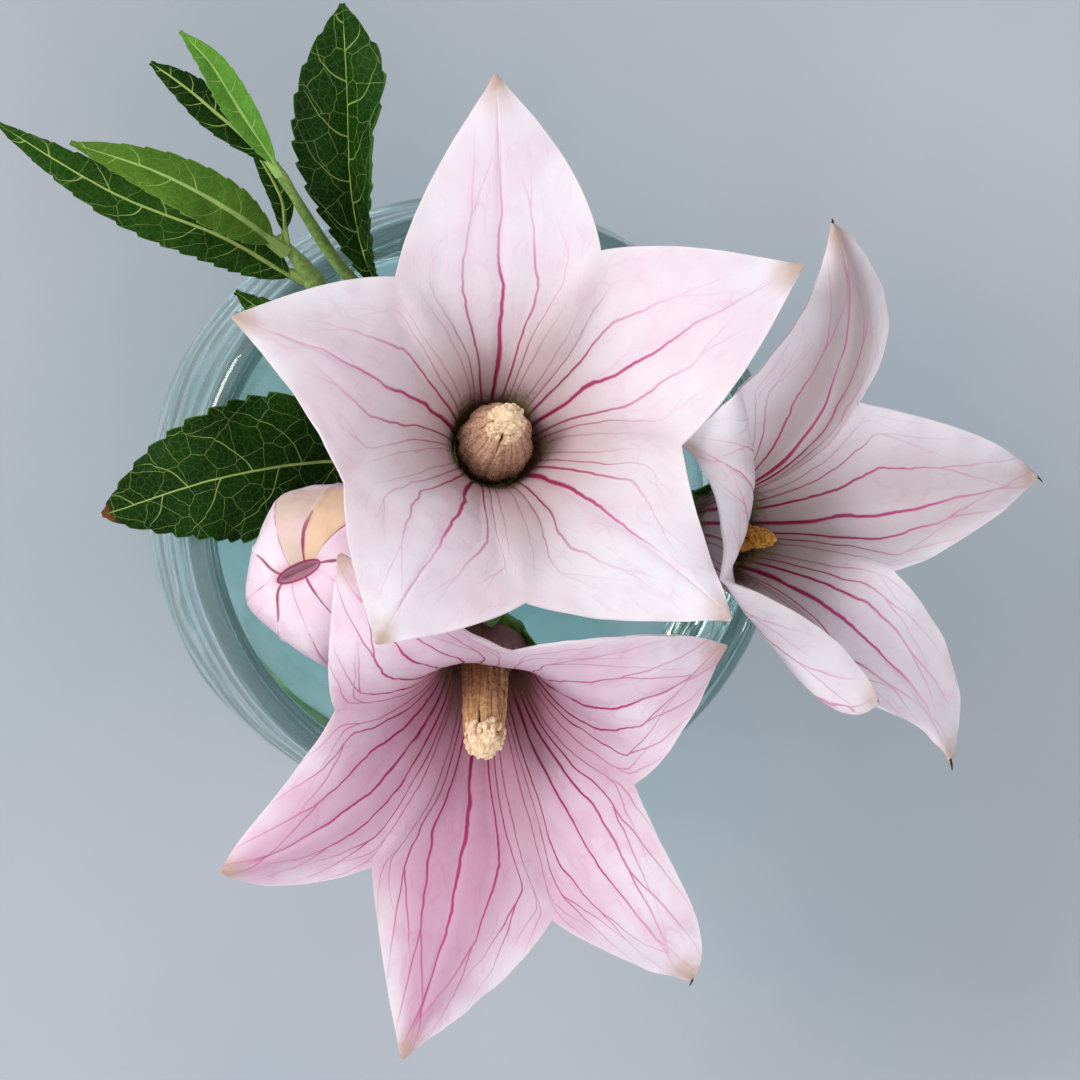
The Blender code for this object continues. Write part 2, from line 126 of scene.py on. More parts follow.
class Slot(Enum):
    """The kinds of surface that the pieces are made of."""

    GLASS = "bowl_glass"
    WATER = "water"
    TOP_PETALS = "top_petals"
    FRONT_PETALS = "front_petals"
    RIGHT_PETALS = "right_petals"
    BUD_PETALS = "bud_petals"
    CALYX = "calyx_green"
    STEM = "stem_green"
    STAMEN = "stamen"
    STYLE = "style"
    DARK_LEAF = "leaf_dark"
    PALE_LEAF = "leaf_pale"
    YOUNG_LEAF = "leaf_young"


# ---------------------------------------------------------------- curves


def blend(start: float, end: float, amount: float) -> float:
    """Linear mix of two numbers or vectors."""
    return start + (end - start) * amount


def smooth_step(low: float, high: float, value: float) -> float:
    """Ease from 0 at low to 1 at high."""
    t = min(max((value - low) / (high - low), 0.0), 1.0)
    return t * t * (3 - 2 * t)


def hump(value: float, centre: float, width: float) -> float:
    """Bell curve that is 1 at its centre."""
    return math.exp(-((value - centre) / width) ** 2)


def evenly(count: int) -> list[float]:
    """Numbers from 0 to 1 in so many equal steps."""
    return [i / count for i in range(count + 1)]


def bezier(points: Sequence[Place], t: float) -> Vector:
    """Point at t on the Bezier curve with any number of control points.

    Args:
        points: The control points.
        t: Place along the curve from 0 to 1.

    Returns:
        The point.
    """
    points = [Vector(point) for point in points]
    while len(points) > 1:
        points = [a.lerp(b, t) for a, b in zip(points, points[1:])]
    return points[0]


def spline(points: Sequence[Place], t: float) -> Vector:
    """Point on a smooth curve through all the points.

    Args:
        points: The points, in order.
        t: Place along the curve from 0 to 1.

    Returns:
        The point.
    """
    points = [Vector(point) for point in points]
    points = [points[0] * 2 - points[1], *points, points[-1] * 2 - points[-2]]
    place = min(t, 0.999999) * (len(points) - 3)
    i = int(place)
    f = place - i
    a, b, c, d = points[i:i + 4]
    return 0.5 * (2 * b + (c - a) * f + (2 * a - 5 * b + 4 * c - d) * f ** 2
                  + (3 * b - a - 3 * c + d) * f ** 3)


def polar(direction: float, reach: float, rise: float) -> Vector:
    """Point from its direction in degrees, reach and rise."""
    angle = math.radians(direction)
    return Vector((reach * math.cos(angle), reach * math.sin(angle), rise))


def turn_about(axis: str, degrees: float, size: int = 4) -> Matrix:
    """Rotation about an axis."""
    return Matrix.Rotation(math.radians(degrees), size, axis)


def widened(point: Vector, factor: float) -> Vector:
    """The point with its distance from the Z axis multiplied."""
    return Vector((point.x * factor, point.y * factor, point.z))


# ---------------------------------------------------------------- modelling


def leave_none_selected() -> None:
    """Deselect everything, outside edit mode."""
    if bpy.context.object and bpy.context.object.mode != "OBJECT":
        bpy.ops.object.mode_set(mode="OBJECT")
    bpy.ops.object.select_all(action="DESELECT")


def pick(*pieces: Piece) -> None:
    """Select these pieces alone and make the first one active.

    Args:
        *pieces: The pieces to select.
    """
    leave_none_selected()
    for piece in pieces:
        piece.select_set(True)
    bpy.context.view_layer.objects.active = pieces[0]


def join(pieces: Sequence[Piece]) -> Piece:
    """Join pieces into the first one.

    Args:
        pieces: One piece or more.

    Returns:
        The first piece, which now holds all of them.
    """
    pick(*pieces)
    if len(pieces) > 1:
        bpy.ops.object.join()
    return pieces[0]


def in_edit_mode(piece: Piece, work: Callable[[], None]) -> None:
    """Run operators on all of a piece's mesh in edit mode.

    Args:
        piece: The piece to edit.
        work: Calls the operators.
    """
    pick(piece)
    bpy.ops.object.mode_set(mode="EDIT")
    bpy.ops.mesh.select_mode(type="VERT")
    bpy.ops.mesh.select_all(action="SELECT")
    work()
    bpy.ops.object.mode_set(mode="OBJECT")


def weld(piece: Piece, distance: float) -> None:
    """Merge the points of a piece that lie nearer than so many millimetres."""
    in_edit_mode(piece, lambda: bpy.ops.mesh.remove_doubles(threshold=distance * MM))


def close_up(piece: Piece, distance: float) -> None:
    """Merge doubled points and turn the faces outwards.

    Args:
        piece: A closed piece.
        distance: Points nearer than this are one, in millimetres.
    """
    def work() -> None:
        """Merge, then turn."""
        bpy.ops.mesh.remove_doubles(threshold=distance * MM)
        bpy.ops.mesh.normals_make_consistent(inside=False)
    in_edit_mode(piece, work)


def add_modifier(piece: Piece, kind: str, **settings: object) -> None:
    """Add a modifier with its settings and apply it.

    Args:
        piece: The piece to change.
        kind: The modifier's type.
        **settings: Its properties.
    """
    pick(piece)
    modifier = piece.modifiers.new(kind.lower(), kind)
    for key, value in settings.items():
        setattr(modifier, key, value)
    bpy.ops.object.modifier_apply(modifier=modifier.name)


def roughen(piece: Piece, size: float, depth: float) -> None:
    """Raise and lower a surface by a fixed cloud pattern.

    Args:
        piece: The piece to change.
        size: Width of one cloud in millimetres.
        depth: Full range of the change in millimetres.
    """
    clouds = bpy.data.textures.new("clouds", "CLOUDS")
    clouds.noise_scale = size * MM
    clouds.noise_depth = 3
    add_modifier(piece, "DISPLACE", texture=clouds, strength=depth * MM, mid_level=0.5,
                 texture_coords="LOCAL")


def shape_points(piece: Piece, change: Callable[[Vector], Vector]) -> None:
    """Carry every point of a piece to its new place, which change gives in millimetres."""
    for vertex in piece.data.vertices:
        vertex.co = change(vertex.co / MM) * MM


def turned(profile: Sequence[tuple[float, float]], segments: int) -> Piece:
    """Turn a profile about Z by extruding and scaling one round face.

    Args:
        profile: (radius, height) in millimetres from the first cap to the last.
        segments: Steps round the shape.

    Returns:
        The closed piece, with its faces outwards.
    """
    leave_none_selected()
    radius, height = profile[0]
    bpy.ops.mesh.primitive_circle_add(vertices=segments, radius=radius * MM,
                                      fill_type="NGON", location=(0, 0, height * MM))
    piece = bpy.context.object
    bpy.ops.object.transform_apply()

    def work() -> None:
        """Extrude the face from ring to ring."""
        low, near = height, radius
        for wide, high in profile[1:]:
            bpy.ops.mesh.extrude_region_move(
                TRANSFORM_OT_translate={"value": (0, 0, (high - low) * MM)})
            bpy.ops.transform.resize(value=(wide / near, wide / near, 1),
                                     center_override=(0, 0, high * MM))
            low, near = high, wide
        bpy.ops.mesh.select_all(action="SELECT")
        bpy.ops.mesh.normals_make_consistent(inside=False)
    in_edit_mode(piece, work)
    return piece


def new_maps(mesh: bpy.types.Mesh) -> list[bpy.types.MeshUVLoopLayer]:
    """Give a mesh three empty maps and no others.

    Args:
        mesh: The mesh.

    Returns:
        The maps "lobe", "span" and "part".
    """
    for layer in list(mesh.uv_layers):
        mesh.uv_layers.remove(layer)
    return [mesh.uv_layers.new(name=name) for name in ("lobe", "span", "part")]


@dataclass
class Cloth:
    """A grid primitive carried to a curved surface, with the maps that its finish reads.

    The map "lobe" holds u (-1 to 1 across) and v (0 to 1 along), "span" the distance from
    the midrib and the half-width there, in centimetres, and "part" a number that tells
    the parts of a piece apart, and 1 on the dry threads at the tips of lobes.
    """

    columns: int
    rows: int
    place: Callable[[float, float], Vector]

    def build(self, tint: float = 0.0) -> Piece:
        """Make the surface.

        Args:
            tint: The number kept in the map "part".

        Returns:
            The piece, with no thickness yet.
        """
        leave_none_selected()
        bpy.ops.mesh.primitive_grid_add(x_subdivisions=self.columns, y_subdivisions=self.rows,
                                        size=2)
        piece = bpy.context.object
        mesh = piece.data
        where = [(vertex.co.x, (vertex.co.y + 1) / 2) for vertex in mesh.vertices]
        steps = [(round((u + 1) / 2 * self.columns), round(v * self.rows)) for u, v in where]
        grid = np.zeros((self.columns + 1, self.rows + 1, 3))
        for (u, v), step in zip(where, steps):
            grid[step] = self.place(u, v)
        along = np.linalg.norm(np.diff(grid, axis=0), axis=2)
        across = np.vstack([np.zeros(self.rows + 1), np.cumsum(along, axis=0)])
        across -= across[self.columns // 2]
        for vertex, step in zip(mesh.vertices, steps):
            vertex.co = Vector(grid[step]) * MM
        maps = new_maps(mesh)
        values = np.zeros((3, len(mesh.loops), 2), np.float32)
        for loop in mesh.loops:
            u, v = where[loop.vertex_index]
            i, j = steps[loop.vertex_index]
            breadth = abs(across[-1 if u > 0 else 0][j])
            values[:, loop.index] = ((u, v), (across[i][j] / 10, breadth / 10), (tint, 0))
        for layer, data in zip(maps, values):
            layer.uv.foreach_set("vector", data.ravel())
        return piece


def place_pattern(piece: Piece, depth: Callable[[float, float, Vector], float]) -> None:
    """Move each point of a surface along its normal.

    Args:
        piece: A surface with the map "lobe".
        depth: Gives the move in millimetres from abs(u), v and the place.
    """
    mesh = piece.data
    flat = np.zeros(len(mesh.loops) * 2, np.float32)
    mesh.uv_layers["lobe"].uv.foreach_get("vector", flat)
    where = {}
    for loop in mesh.loops:
        where.setdefault(loop.vertex_index, flat[2 * loop.index:2 * loop.index + 2])
    moves = [mesh.vertices[i].normal * depth(abs(float(u)), float(v), mesh.vertices[i].co / MM)
             for i, (u, v) in sorted(where.items())]
    for vertex, move in zip(mesh.vertices, moves):
        vertex.co += move * MM


def tube(points: Sequence[Place], radii: Sequence[float], spot: Place | None = None) -> Piece:
    """A round tube from a bevelled curve.

    Args:
        points: Its centre line, in millimetres.
        radii: Its radius at each point, in millimetres.
        spot: The (u, v) and part number kept in its maps, where a petal's finish reads them.

    Returns:
        The closed tube.
    """
    leave_none_selected()
    bpy.ops.curve.primitive_bezier_curve_add()
    curve = bpy.context.object
    data = curve.data
    data.splines.clear()
    line = data.splines.new("POLY")
    line.points.add(len(points) - 1)
    for knot, point, radius in zip(line.points, points, radii):
        knot.co = (*(Vector(point) * MM), 1.0)
        knot.radius = radius
    data.bevel_depth = MM
    data.bevel_resolution = 5 if spot is None else 1
    data.use_fill_caps = True
    curve.location = (0, 0, 0)
    pick(curve)
    bpy.ops.object.convert(target="MESH")
    piece = bpy.context.object
    close_up(piece, FINE_WELD)
    if spot:
        u, v, part = spot
        for layer, value in zip(new_maps(piece.data), ((u, v), (0, 1), (part, 1))):
            layer.uv.foreach_set("vector", np.tile(np.float32(value), len(piece.data.loops)))
    return piece


def select_free_edges() -> None:
    """Select the free edges alone, in edit mode."""
    bpy.ops.mesh.select_all(action="DESELECT")
    bpy.ops.mesh.select_mode(type="EDGE")
    bpy.ops.mesh.select_non_manifold(extend=False)


def soften(piece: Piece, times: int) -> None:
    """Smooth a surface's inner points and leave its free edges.

    Args:
        piece: A surface with free edges.
        times: How often each point moves towards its neighbours.
    """
    def work() -> None:
        """Select the free edges, turn the choice round and smooth."""
        select_free_edges()
        bpy.ops.mesh.select_mode(type="VERT")
        bpy.ops.mesh.select_all(action="INVERT")
        bpy.ops.mesh.vertices_smooth(factor=0.5, repeat=times)
    in_edit_mode(piece, work)


def finish_piece(piece: Piece, name: str, material: bpy.types.Material,
                 nodes: Sequence[str] = ()) -> Piece:
    """Name a piece, dress it, attach it to the root body and hide the nodes that it stands for.

    Args:
        piece: The finished mesh object, at the origin.
        name: Its name.
        material: Its finish.
        nodes: The CAD nodes that it replaces.

    Returns:
        The same piece.
    """
    piece.name = piece.data.name = name
    piece.data.materials.clear()
    piece.data.materials.append(material)
    pick(piece)
    bpy.ops.object.shade_smooth_by_angle(angle=math.radians(SHARP_ANGLE))
    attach(piece, "root")
    if nodes:
        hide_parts(*nodes)
    LOG.info("%s: %d faces", name, len(piece.data.polygons))
    return piece


# ---------------------------------------------------------------- finishes


def reckoning(operation: str, swapped: bool = False) -> Callable[["Value", object], "Value"]:
    """A method of Value that stands for a Math node.

    Args:
        operation: The node's operation.
        swapped: Whether the other operand comes first.

    Returns:
        The method.
    """
    def reckon(value: "Value", other: object) -> "Value":
        """The node's result."""
        pair = (other, value) if swapped else (value, other)
        return value.graph.math(operation, *pair)
    return reckon


@dataclass(frozen=True)
class Value:
    """The output of a node, which can be reckoned with like a number."""

    graph: "Graph"
    socket: bpy.types.NodeSocket

    __add__ = reckoning("ADD")
    __radd__ = reckoning("ADD", swapped=True)
    __sub__ = reckoning("SUBTRACT")
    __rsub__ = reckoning("SUBTRACT", swapped=True)
    __mul__ = reckoning("MULTIPLY")
    __truediv__ = reckoning("DIVIDE")
    __pow__ = reckoning("POWER")

    def __abs__(self) -> "Value":
        """The value without its sign."""
        return self.graph.math("ABSOLUTE", self)


class Graph:
    """Short calls that add and join the nodes of a material or group."""

    def __init__(self, tree: bpy.types.NodeTree) -> None:
        """Start with an empty tree."""
        self.tree = tree
        tree.nodes.clear()

    def add(self, kind: str, inputs: dict | None = None, **settings: object) -> bpy.types.Node:
        """Add a node.

        Args:
            kind: Its type without ShaderNode.
            inputs: Values or sockets for its inputs.
            **settings: Properties that are set first.

        Returns:
            The node.
        """
        node = self.tree.nodes.new("ShaderNode" + kind)
        for key, value in settings.items():
            setattr(node, key, value)
        for key, value in (inputs or {}).items():
            self.feed(node.inputs[key], value)
        return node

    def out(self, kind: str, inputs: dict | None = None, key: int | str = 0,
            **settings: object) -> Value:
        """Add a node, as add does, and give one of its outputs."""
        return Value(self, self.add(kind, inputs, **settings).outputs[key])

    def feed(self, socket: bpy.types.NodeSocket, value: object) -> None:
        """Set an input to a value, a colour or another node's output.

        Args:
            socket: The input.
            value: What it is set to.
        """
        value = value.socket if isinstance(value, Value) else value
        if isinstance(value, bpy.types.NodeSocket):
            self.tree.links.new(value, socket)
        elif isinstance(value, tuple) and socket.type == "RGBA":
            socket.default_value = (*value[:3], 1.0)
        else:
            socket.default_value = value

    def math(self, operation: str, *values: object) -> Value:
        """Result of a Math node with these values."""
        return self.out("Math", dict(enumerate(values)), operation=operation)

    def ease(self, value: object, low: object, high: object, start: float = 0.0,
             end: float = 1.0) -> Value:
        """Smooth step from start, where the value is low, to end, where it is high."""
        return self.out("MapRange", {0: value, 1: low, 2: high, 3: start, 4: end},
                        interpolation_type="SMOOTHSTEP")

    def mix(self, amount: object, first: object, second: object) -> Value:
        """Mix of two colours."""
        return self.out("Mix", {0: amount, 6: first, 7: second}, 2, data_type="RGBA",
                        clamp_factor=True)

    def noise(self, place: object, scale: float, detail: float = 2.0,
              roughness: float = 0.5) -> Value:
        """Noise from 0 to 1, with so many waves in a millimetre."""
        return self.out("TexNoise", {"Vector": place, "Scale": scale, "Detail": detail,
                                     "Roughness": roughness}, "Fac")

    def vector(self, *values: object) -> Value:
        """A vector of up to three values."""
        return self.out("CombineXYZ", dict(enumerate(values)))

    def place(self, stretch: Place = (1, 1, 1)) -> Value:
        """Object coordinates in millimetres, with each axis stretched."""
        return self.out("Mapping", {"Vector": self.out("TexCoord", key="Object"),
                                    "Scale": tuple(value / MM for value in stretch)})

    def map_values(self, name: str) -> tuple[Value, Value]:
        """The two numbers of a named map."""
        node = self.add("SeparateXYZ", {0: self.out("UVMap", uv_map=name)})
        return Value(self, node.outputs[0]), Value(self, node.outputs[1])

    def most(self, *values: object) -> Value:
        """The greatest of several values.

        Args:
            *values: Values or numbers.

        Returns:
            The greatest of them at each point.
        """
        total = values[0]
        for value in values[1:]:
            total = self.math("MAXIMUM", total, value)
        return total

    def relief(self, height: object, depth: float, strength: float = 1.0) -> Value:
        """Normal of a bump whose height of 1 is depth millimetres."""
        return self.out("Bump", {"Height": height, "Distance": depth * MM,
                                 "Strength": strength})


def shared_group(name: str, inputs: Sequence[str], outputs: Sequence[str],
                 build: Callable[[Graph, dict, dict], None]) -> bpy.types.NodeTree:
    """Make a node group once and return it.

    Args:
        name: The group's name.
        inputs: Names of its number inputs.
        outputs: Names of its number outputs.
        build: Joins its nodes, given the graph, its inputs and its output sockets.

    Returns:
        The group.
    """
    if name in bpy.data.node_groups:
        return bpy.data.node_groups[name]
    tree = bpy.data.node_groups.new(name, "ShaderNodeTree")
    for word in inputs:
        tree.interface.new_socket(word, in_out="INPUT", socket_type="NodeSocketFloat")
    for word in outputs:
        tree.interface.new_socket(word, in_out="OUTPUT", socket_type="NodeSocketFloat")
    graph = Graph(tree)
    source = tree.nodes.new("NodeGroupInput")
    target = tree.nodes.new("NodeGroupOutput")
    build(graph, {socket.name: Value(graph, socket) for socket in source.outputs if socket.name},
          {socket.name: socket for socket in target.inputs if socket.name})
    return tree


def join_vein_line(g: Graph, given: dict, results: dict) -> None:
    """One vein: a line that drifts outwards, wanders, may fork, thins and fades.

    Args:
        g: The group's graph.
        given: Its inputs.
        results: Its outputs.
    """
    along = given["Along"]
    run = [g.noise(g.vector(along * waves, given["Seed"], waves), 1.0, 2.0, 0.55)
           for waves in (3.4, 15.0)]
    wander = (run[0] - 0.5) * 0.34 + (run[1] - 0.5) * 0.075
    drift = given["Drift"] * along ** 2.0
    line = given["Place"] + drift + wander * g.ease(along, 0.0, 0.35, 0.35, 1.0)
    line = given["Breadth"] * line
    apart = given["Split"] * g.most(along - given["Fork"], 0.0)
    away = abs(given["Offset"] - line)
    away = abs(away - apart)
    width = given["Width"] * g.ease(along, 0.05, 0.8, 1.0, 0.42)
    width = width * g.ease(run[1], 0.3, 0.7, 0.88, 1.08)
    mask = g.ease(away, width, width * 0.3)
    late = along + (run[0] - 0.5) * 0.5
    fade = g.ease(late, given["End"], given["Fade"])
    mask = mask * fade * given["Strength"]
    g.feed(results["Mask"], mask)


def vein_line(g: Graph, **values: object) -> Value:
    """Mask of one vein.

    Args:
        g: The material's graph.
        **values: The inputs of the shared group, by their names in lower case.

    Returns:
        The mask.
    """
    names = ("Offset", "Breadth", "Along", "Seed", "Place", "Drift", "Fork", "Split",
             "Width", "Fade", "End", "Strength")
    tree = shared_group("VeinLine", names, ("Mask",), join_vein_line)
    node = g.add("Group", node_tree=tree)
    for key, value in values.items():
        g.feed(node.inputs[key.capitalize()], value)
    return Value(g, node.outputs[0])


def join_mottle(g: Graph, given: dict, results: dict) -> None:
    """Broad and fine tone changes of living tissue, as numbers from 0 to 1.

    Args:
        g: The group's graph.
        given: Its inputs.
        results: Its outputs.
    """
    place = g.place()
    broad = g.noise(place, 0.09, 3.0)
    scaled = g.out("VectorMath", {0: place, "Scale": given["Grain"]}, operation="SCALE")
    fine = g.noise(scaled, 1.0, 4.0, 0.6)
    g.feed(results["Tone"], g.ease(broad * 0.6 + fine * 0.4, 0.3, 0.7))
    g.feed(results["Fine"], fine)


def mottle(g: Graph, grain: float) -> tuple[Value, Value]:
    """Cloudy tone of plant tissue.

    Args:
        g: The material's graph.
        grain: How many grains there are in a millimetre.

    Returns:
        The tone and the fine grain.
    """
    tree = shared_group("Mottle", ("Grain",), ("Tone", "Fine"), join_mottle)
    node = g.add("Group", {0: grain}, node_tree=tree)
    return Value(g, node.outputs[0]), Value(g, node.outputs[1])


def new_finish(name: str) -> tuple[bpy.types.Material, Graph]:
    """Start a material.

    Args:
        name: Its name.

    Returns:
        The empty material and its graph.
    """
    material = bpy.data.materials.new(name)
    material.use_nodes = True
    return material, Graph(material.node_tree)


def surface(g: Graph, colour: object, roughness: object, normal: object = None,
            plain: dict | None = None) -> Value:
    """A Principled surface.

    Args:
        g: The material's graph.
        colour: Its colour.
        roughness: Its roughness.
        normal: Its bump, if it has one.
        plain: Numbers that are the same all over it, by the names of their sockets.

    Returns:
        Its shader.
    """
    inputs = {"Base Color": colour, "Roughness": roughness, **(plain or {})}
    if normal:
        inputs["Normal"] = normal
    return g.out("BsdfPrincipled", inputs)


def thin_tissue(g: Graph, colour: object, normal: object, roughness: object,
                glow: float, gloss: float) -> None:
    """A thin living surface that lets some light through, joined to the output.

    Args:
        g: The material's graph.
        colour: Its colour.
        normal: Its bump.
        roughness: Its roughness.
        glow: The share of light that passes.
        gloss: Its specular level.
    """
    skin = surface(g, colour, roughness, normal, {"Specular IOR Level": gloss})
    through = g.out("BsdfTranslucent", {"Color": colour, "Normal": normal})
    both = g.out("MixShader", {0: glow, 1: skin, 2: through})
    g.add("OutputMaterial", {"Surface": both})


@dataclass(frozen=True)
class Vein:
    """A pair of veins of a lobe: start and drift across it, fork, width and fading."""

    place: float
    drift: float
    fork: float
    split: float
    width: float
    fade: float
    end: float
    strength: float


VEINS = (
    Vein(0.0, 0.0, 0.84, 8.0, 0.52, 0.42, 0.96, 1.0),
    Vein(0.36, 0.06, 0.66, 8.0, 0.40, 0.26, 0.86, 0.9),
    Vein(0.62, 0.10, 0.52, 8.0, 0.30, 0.18, 0.70, 0.66),
    Vein(0.84, 0.06, 0.44, 7.0, 0.24, 0.14, 0.54, 0.4),
)


@dataclass(frozen=True)
class PetalFinish:
    """Pink petal tissue with crimson veins that fork and fade towards the margin."""

    name: str
    pale: Colour
    pink: Colour
    vein: Colour = (0.36, 0.012, 0.085)
    faint_vein: Colour = (0.72, 0.12, 0.36)
    tip: Colour = (0.62, 0.44, 0.34)
    # The throat colour is partly the tissue's own brown and partly painted shade round the
    # column's foot
    throat: Colour = (0.19, 0.11, 0.07)
    moss: Colour = (0.24, 0.21, 0.06)
    shade: Colour = (0.60, 0.47, 0.47)
    richness: float = 1.0
    lasting: float = 0.0
    depth: float = 0.40
    # Painted shade: this darker colour goes on the listed lobes, which lie in shade
    lobe_shade: Colour = (0.84, 0.70, 0.75)
    shaded_lobes: tuple[float, ...] = ()
    glow: float = 0.32

    def veins(self, g: Graph, across: object, breadth: object, along: object,
              part: object) -> Value:
        """Mask of all the long veins.

        Args:
            g: The material's graph.
            across: Signed distance from the midrib in millimetres.
            breadth: Half-width of the lobe in millimetres.
            along: Place along the lobe from 0 to 1.
            part: Number of the lobe.

        Returns:
            The mask.
        """
        offset = abs(across)
        side = g.math("SIGN", across) * 3.1
        lobe = part * 57.0
        lines = []
        for i, vein in enumerate(VEINS):
            seed = lobe + 7.3 * i
            if vein.place:
                seed = seed + side
            lines.append(vein_line(
                g, offset=offset if vein.place else across, breadth=breadth, along=along,
                seed=seed, place=vein.place, drift=vein.drift, fork=vein.fork,
                split=vein.split, width=vein.width, fade=vein.fade + self.lasting,
                end=min(vein.end + self.lasting, 1.1),
                strength=min(vein.strength * self.richness, 1.0)))
        return g.most(*lines)

    def net(self, g: Graph, across: object, along: object) -> Value:
        """Mask of the fine net between the veins, drawn out along the lobe.

        Args:
            g: The material's graph.
            across: Distance from the midrib in millimetres.
            along: Place along the lobe from 0 to 1.

        Returns:
            The mask.
        """
        bend = g.noise(g.place(), 0.4, 2.0) * 0.8
        spot = g.vector(across * 0.42 + bend, along * 8.0 + bend)
        cells = g.out("TexVoronoi", {"Vector": spot, "Scale": 1.0}, feature="DISTANCE_TO_EDGE")
        lines = g.ease(cells, 0.10, 0.0)
        gaps = g.ease(g.noise(g.place(), 0.25, 3.0), 0.42, 0.62)
        return lines * gaps

    def material(self) -> bpy.types.Material:
        """Make the finish.

        Returns:
            The material.
        """
        material, g = new_finish(self.name)
        u, v = g.map_values("lobe")
        across, breadth = (value * 10.0 for value in g.map_values("span"))
        part, thread = g.map_values("part")
        place = g.place()
        veins = self.veins(g, across, breadth, v, part)
        net = self.net(g, across, v)
        tone, fine = mottle(g, 1.4)
        # Pale tissue with pink clouds, painted shade on the lobes that lie in shade and the
        # midrib's pink halo
        rosy = g.ease(g.noise(place, 0.075, 2.0, 0.6), 0.42, 0.66)
        colour = g.mix(tone * g.ease(v, 1.0, 0.1, 0.25, 0.8), self.pale, self.pink)
        colour = g.mix(rosy * g.ease(v, 0.95, 0.3, 0.55, 0.9), colour, self.pink)
        # Painted shade on the lobes that lie in shade, strongest along the midrib
        for i, amount in enumerate(self.shaded_lobes):
            inner = g.ease(abs(u), 1.0, 0.3, 0.0, amount)
            lobe = g.math("COMPARE", part, i / 10, 0.02)
            colour = g.mix(lobe * inner, colour, self.lobe_shade)
        halo = g.ease(abs(across), 2.2, 0.2) * g.ease(v, 1.0, 0.1, 0.15, 0.5)
        colour = g.mix(halo, colour, self.pink)
        colour = g.mix(net * (0.08 * self.richness), colour, self.faint_vein)
        # Lit free edge, worn tip and the shaded bell
        edge = g.ease(abs(u), 0.9, 1.0) * g.ease(v, SPLIT - 0.03, SPLIT + 0.06)
        colour = g.mix(edge * 0.6, colour, LIT_EDGE)
        worn = g.ease(v, 0.88, 1.0) * g.ease(g.noise(place, 0.5, 3.0), 0.2, 0.6, 0.3, 0.9)
        colour = g.mix(worn, colour, self.tip)
        deep = v + (tone - 0.5) * 0.10
        colour = g.mix(g.ease(deep, self.depth, 0.08, 0.0, 0.9), colour, self.shade)
        vein = g.mix(g.ease(v, 0.15, 0.75), self.vein, self.faint_vein)
        colour = g.mix(veins, colour, vein)
        colour = self.last_touch(g, colour, u, v)
        # Dark throat ring, olive in patches: the throat's own tint with painted shade round the
        # column's foot, and the threads
        grain = (fine - 0.5) * 0.10
        ring = g.ease(v + grain, 0.14, 0.05)
        smudge = g.ease(g.noise(place, 0.28, 3.0, 0.6), 0.50, 0.60)
        colour = g.mix(ring, colour, g.mix(smudge, self.throat, self.moss))
        colour = g.mix(thread, colour, DRY_THREAD)
        height = veins * 0.8 + net * 0.3 + fine * 0.5
        thin_tissue(g, colour, g.relief(height, 0.12, 0.5),
                    g.ease(fine, 0.2, 0.8, 0.62, 0.42), self.glow, 0.3)
        return material

    def last_touch(self, g: Graph, colour: object, u: object, v: object) -> object:
        """The colour with what only this kind of petal has."""
        return colour


@dataclass(frozen=True)
class BudFinish(PetalFinish):
    """Bud tissue: two dried cream facets, thin magenta seams and a dusky slit."""

    beige: Colour = (0.76, 0.58, 0.47)
    cream: Colour = (0.90, 0.62, 0.38)
    seam: Colour = (0.36, 0.03, 0.12)
    slit: Colour = (0.46, 0.22, 0.29)

    def last_touch(self, g: Graph, colour: object, u: object, v: object) -> object:
        """Add the dried facets, the seams and the slit.

        Args:
            g: The material's graph.
            colour: The tissue's colour.
            u: Place across the petal from -1 to 1.
            v: Place along the petal from 0 to 1.

        Returns:
            The new colour.
        """
        # The facets that meet at one seam have dried
        part, _ = g.map_values("part")
        rough = g.noise(g.place(), 0.35, 3.0) - 0.5
        low = g.ease(v + rough * 0.12, 0.44, 0.50)
        dry = low * g.ease(rough, -0.4, 0.2, 0.75, 1.0)
        for petal, sign, tint in ((0.2, -1.0, self.beige), (0.1, 1.0, self.cream)):
            mask = g.math("COMPARE", part, petal, 0.02) * g.ease(u * sign, 0.0, 0.04)
            worn = g.mix(g.ease(rough, -0.05, 0.25, 0.0, 0.5), tint, self.pink)
            colour = g.mix(mask * dry, colour, worn)
        # Seams and midribs, which wander less towards the slit
        side = abs(u)
        wander = rough * g.ease(v, 0.5, 0.95, 0.22, 0.05)
        wide = g.ease(v, 0.5, 0.95, 0.016, 0.055)
        seam = g.ease(1.0 - (side + wander), wide, wide * 0.3)
        rib = g.ease(side + wander, wide * 0.8, wide * 0.25)
        thin = g.most(seam, rib) * g.ease(v, 0.42, 0.85, 0.15, 0.9)
        colour = g.mix(thin, colour, self.seam)
        colour = g.mix(g.ease(v, BUD_LIP - 0.012, BUD_LIP - 0.004), colour, self.seam)
        return g.mix(g.ease(v, BUD_LIP, BUD_LIP + 0.006), colour, self.slit)


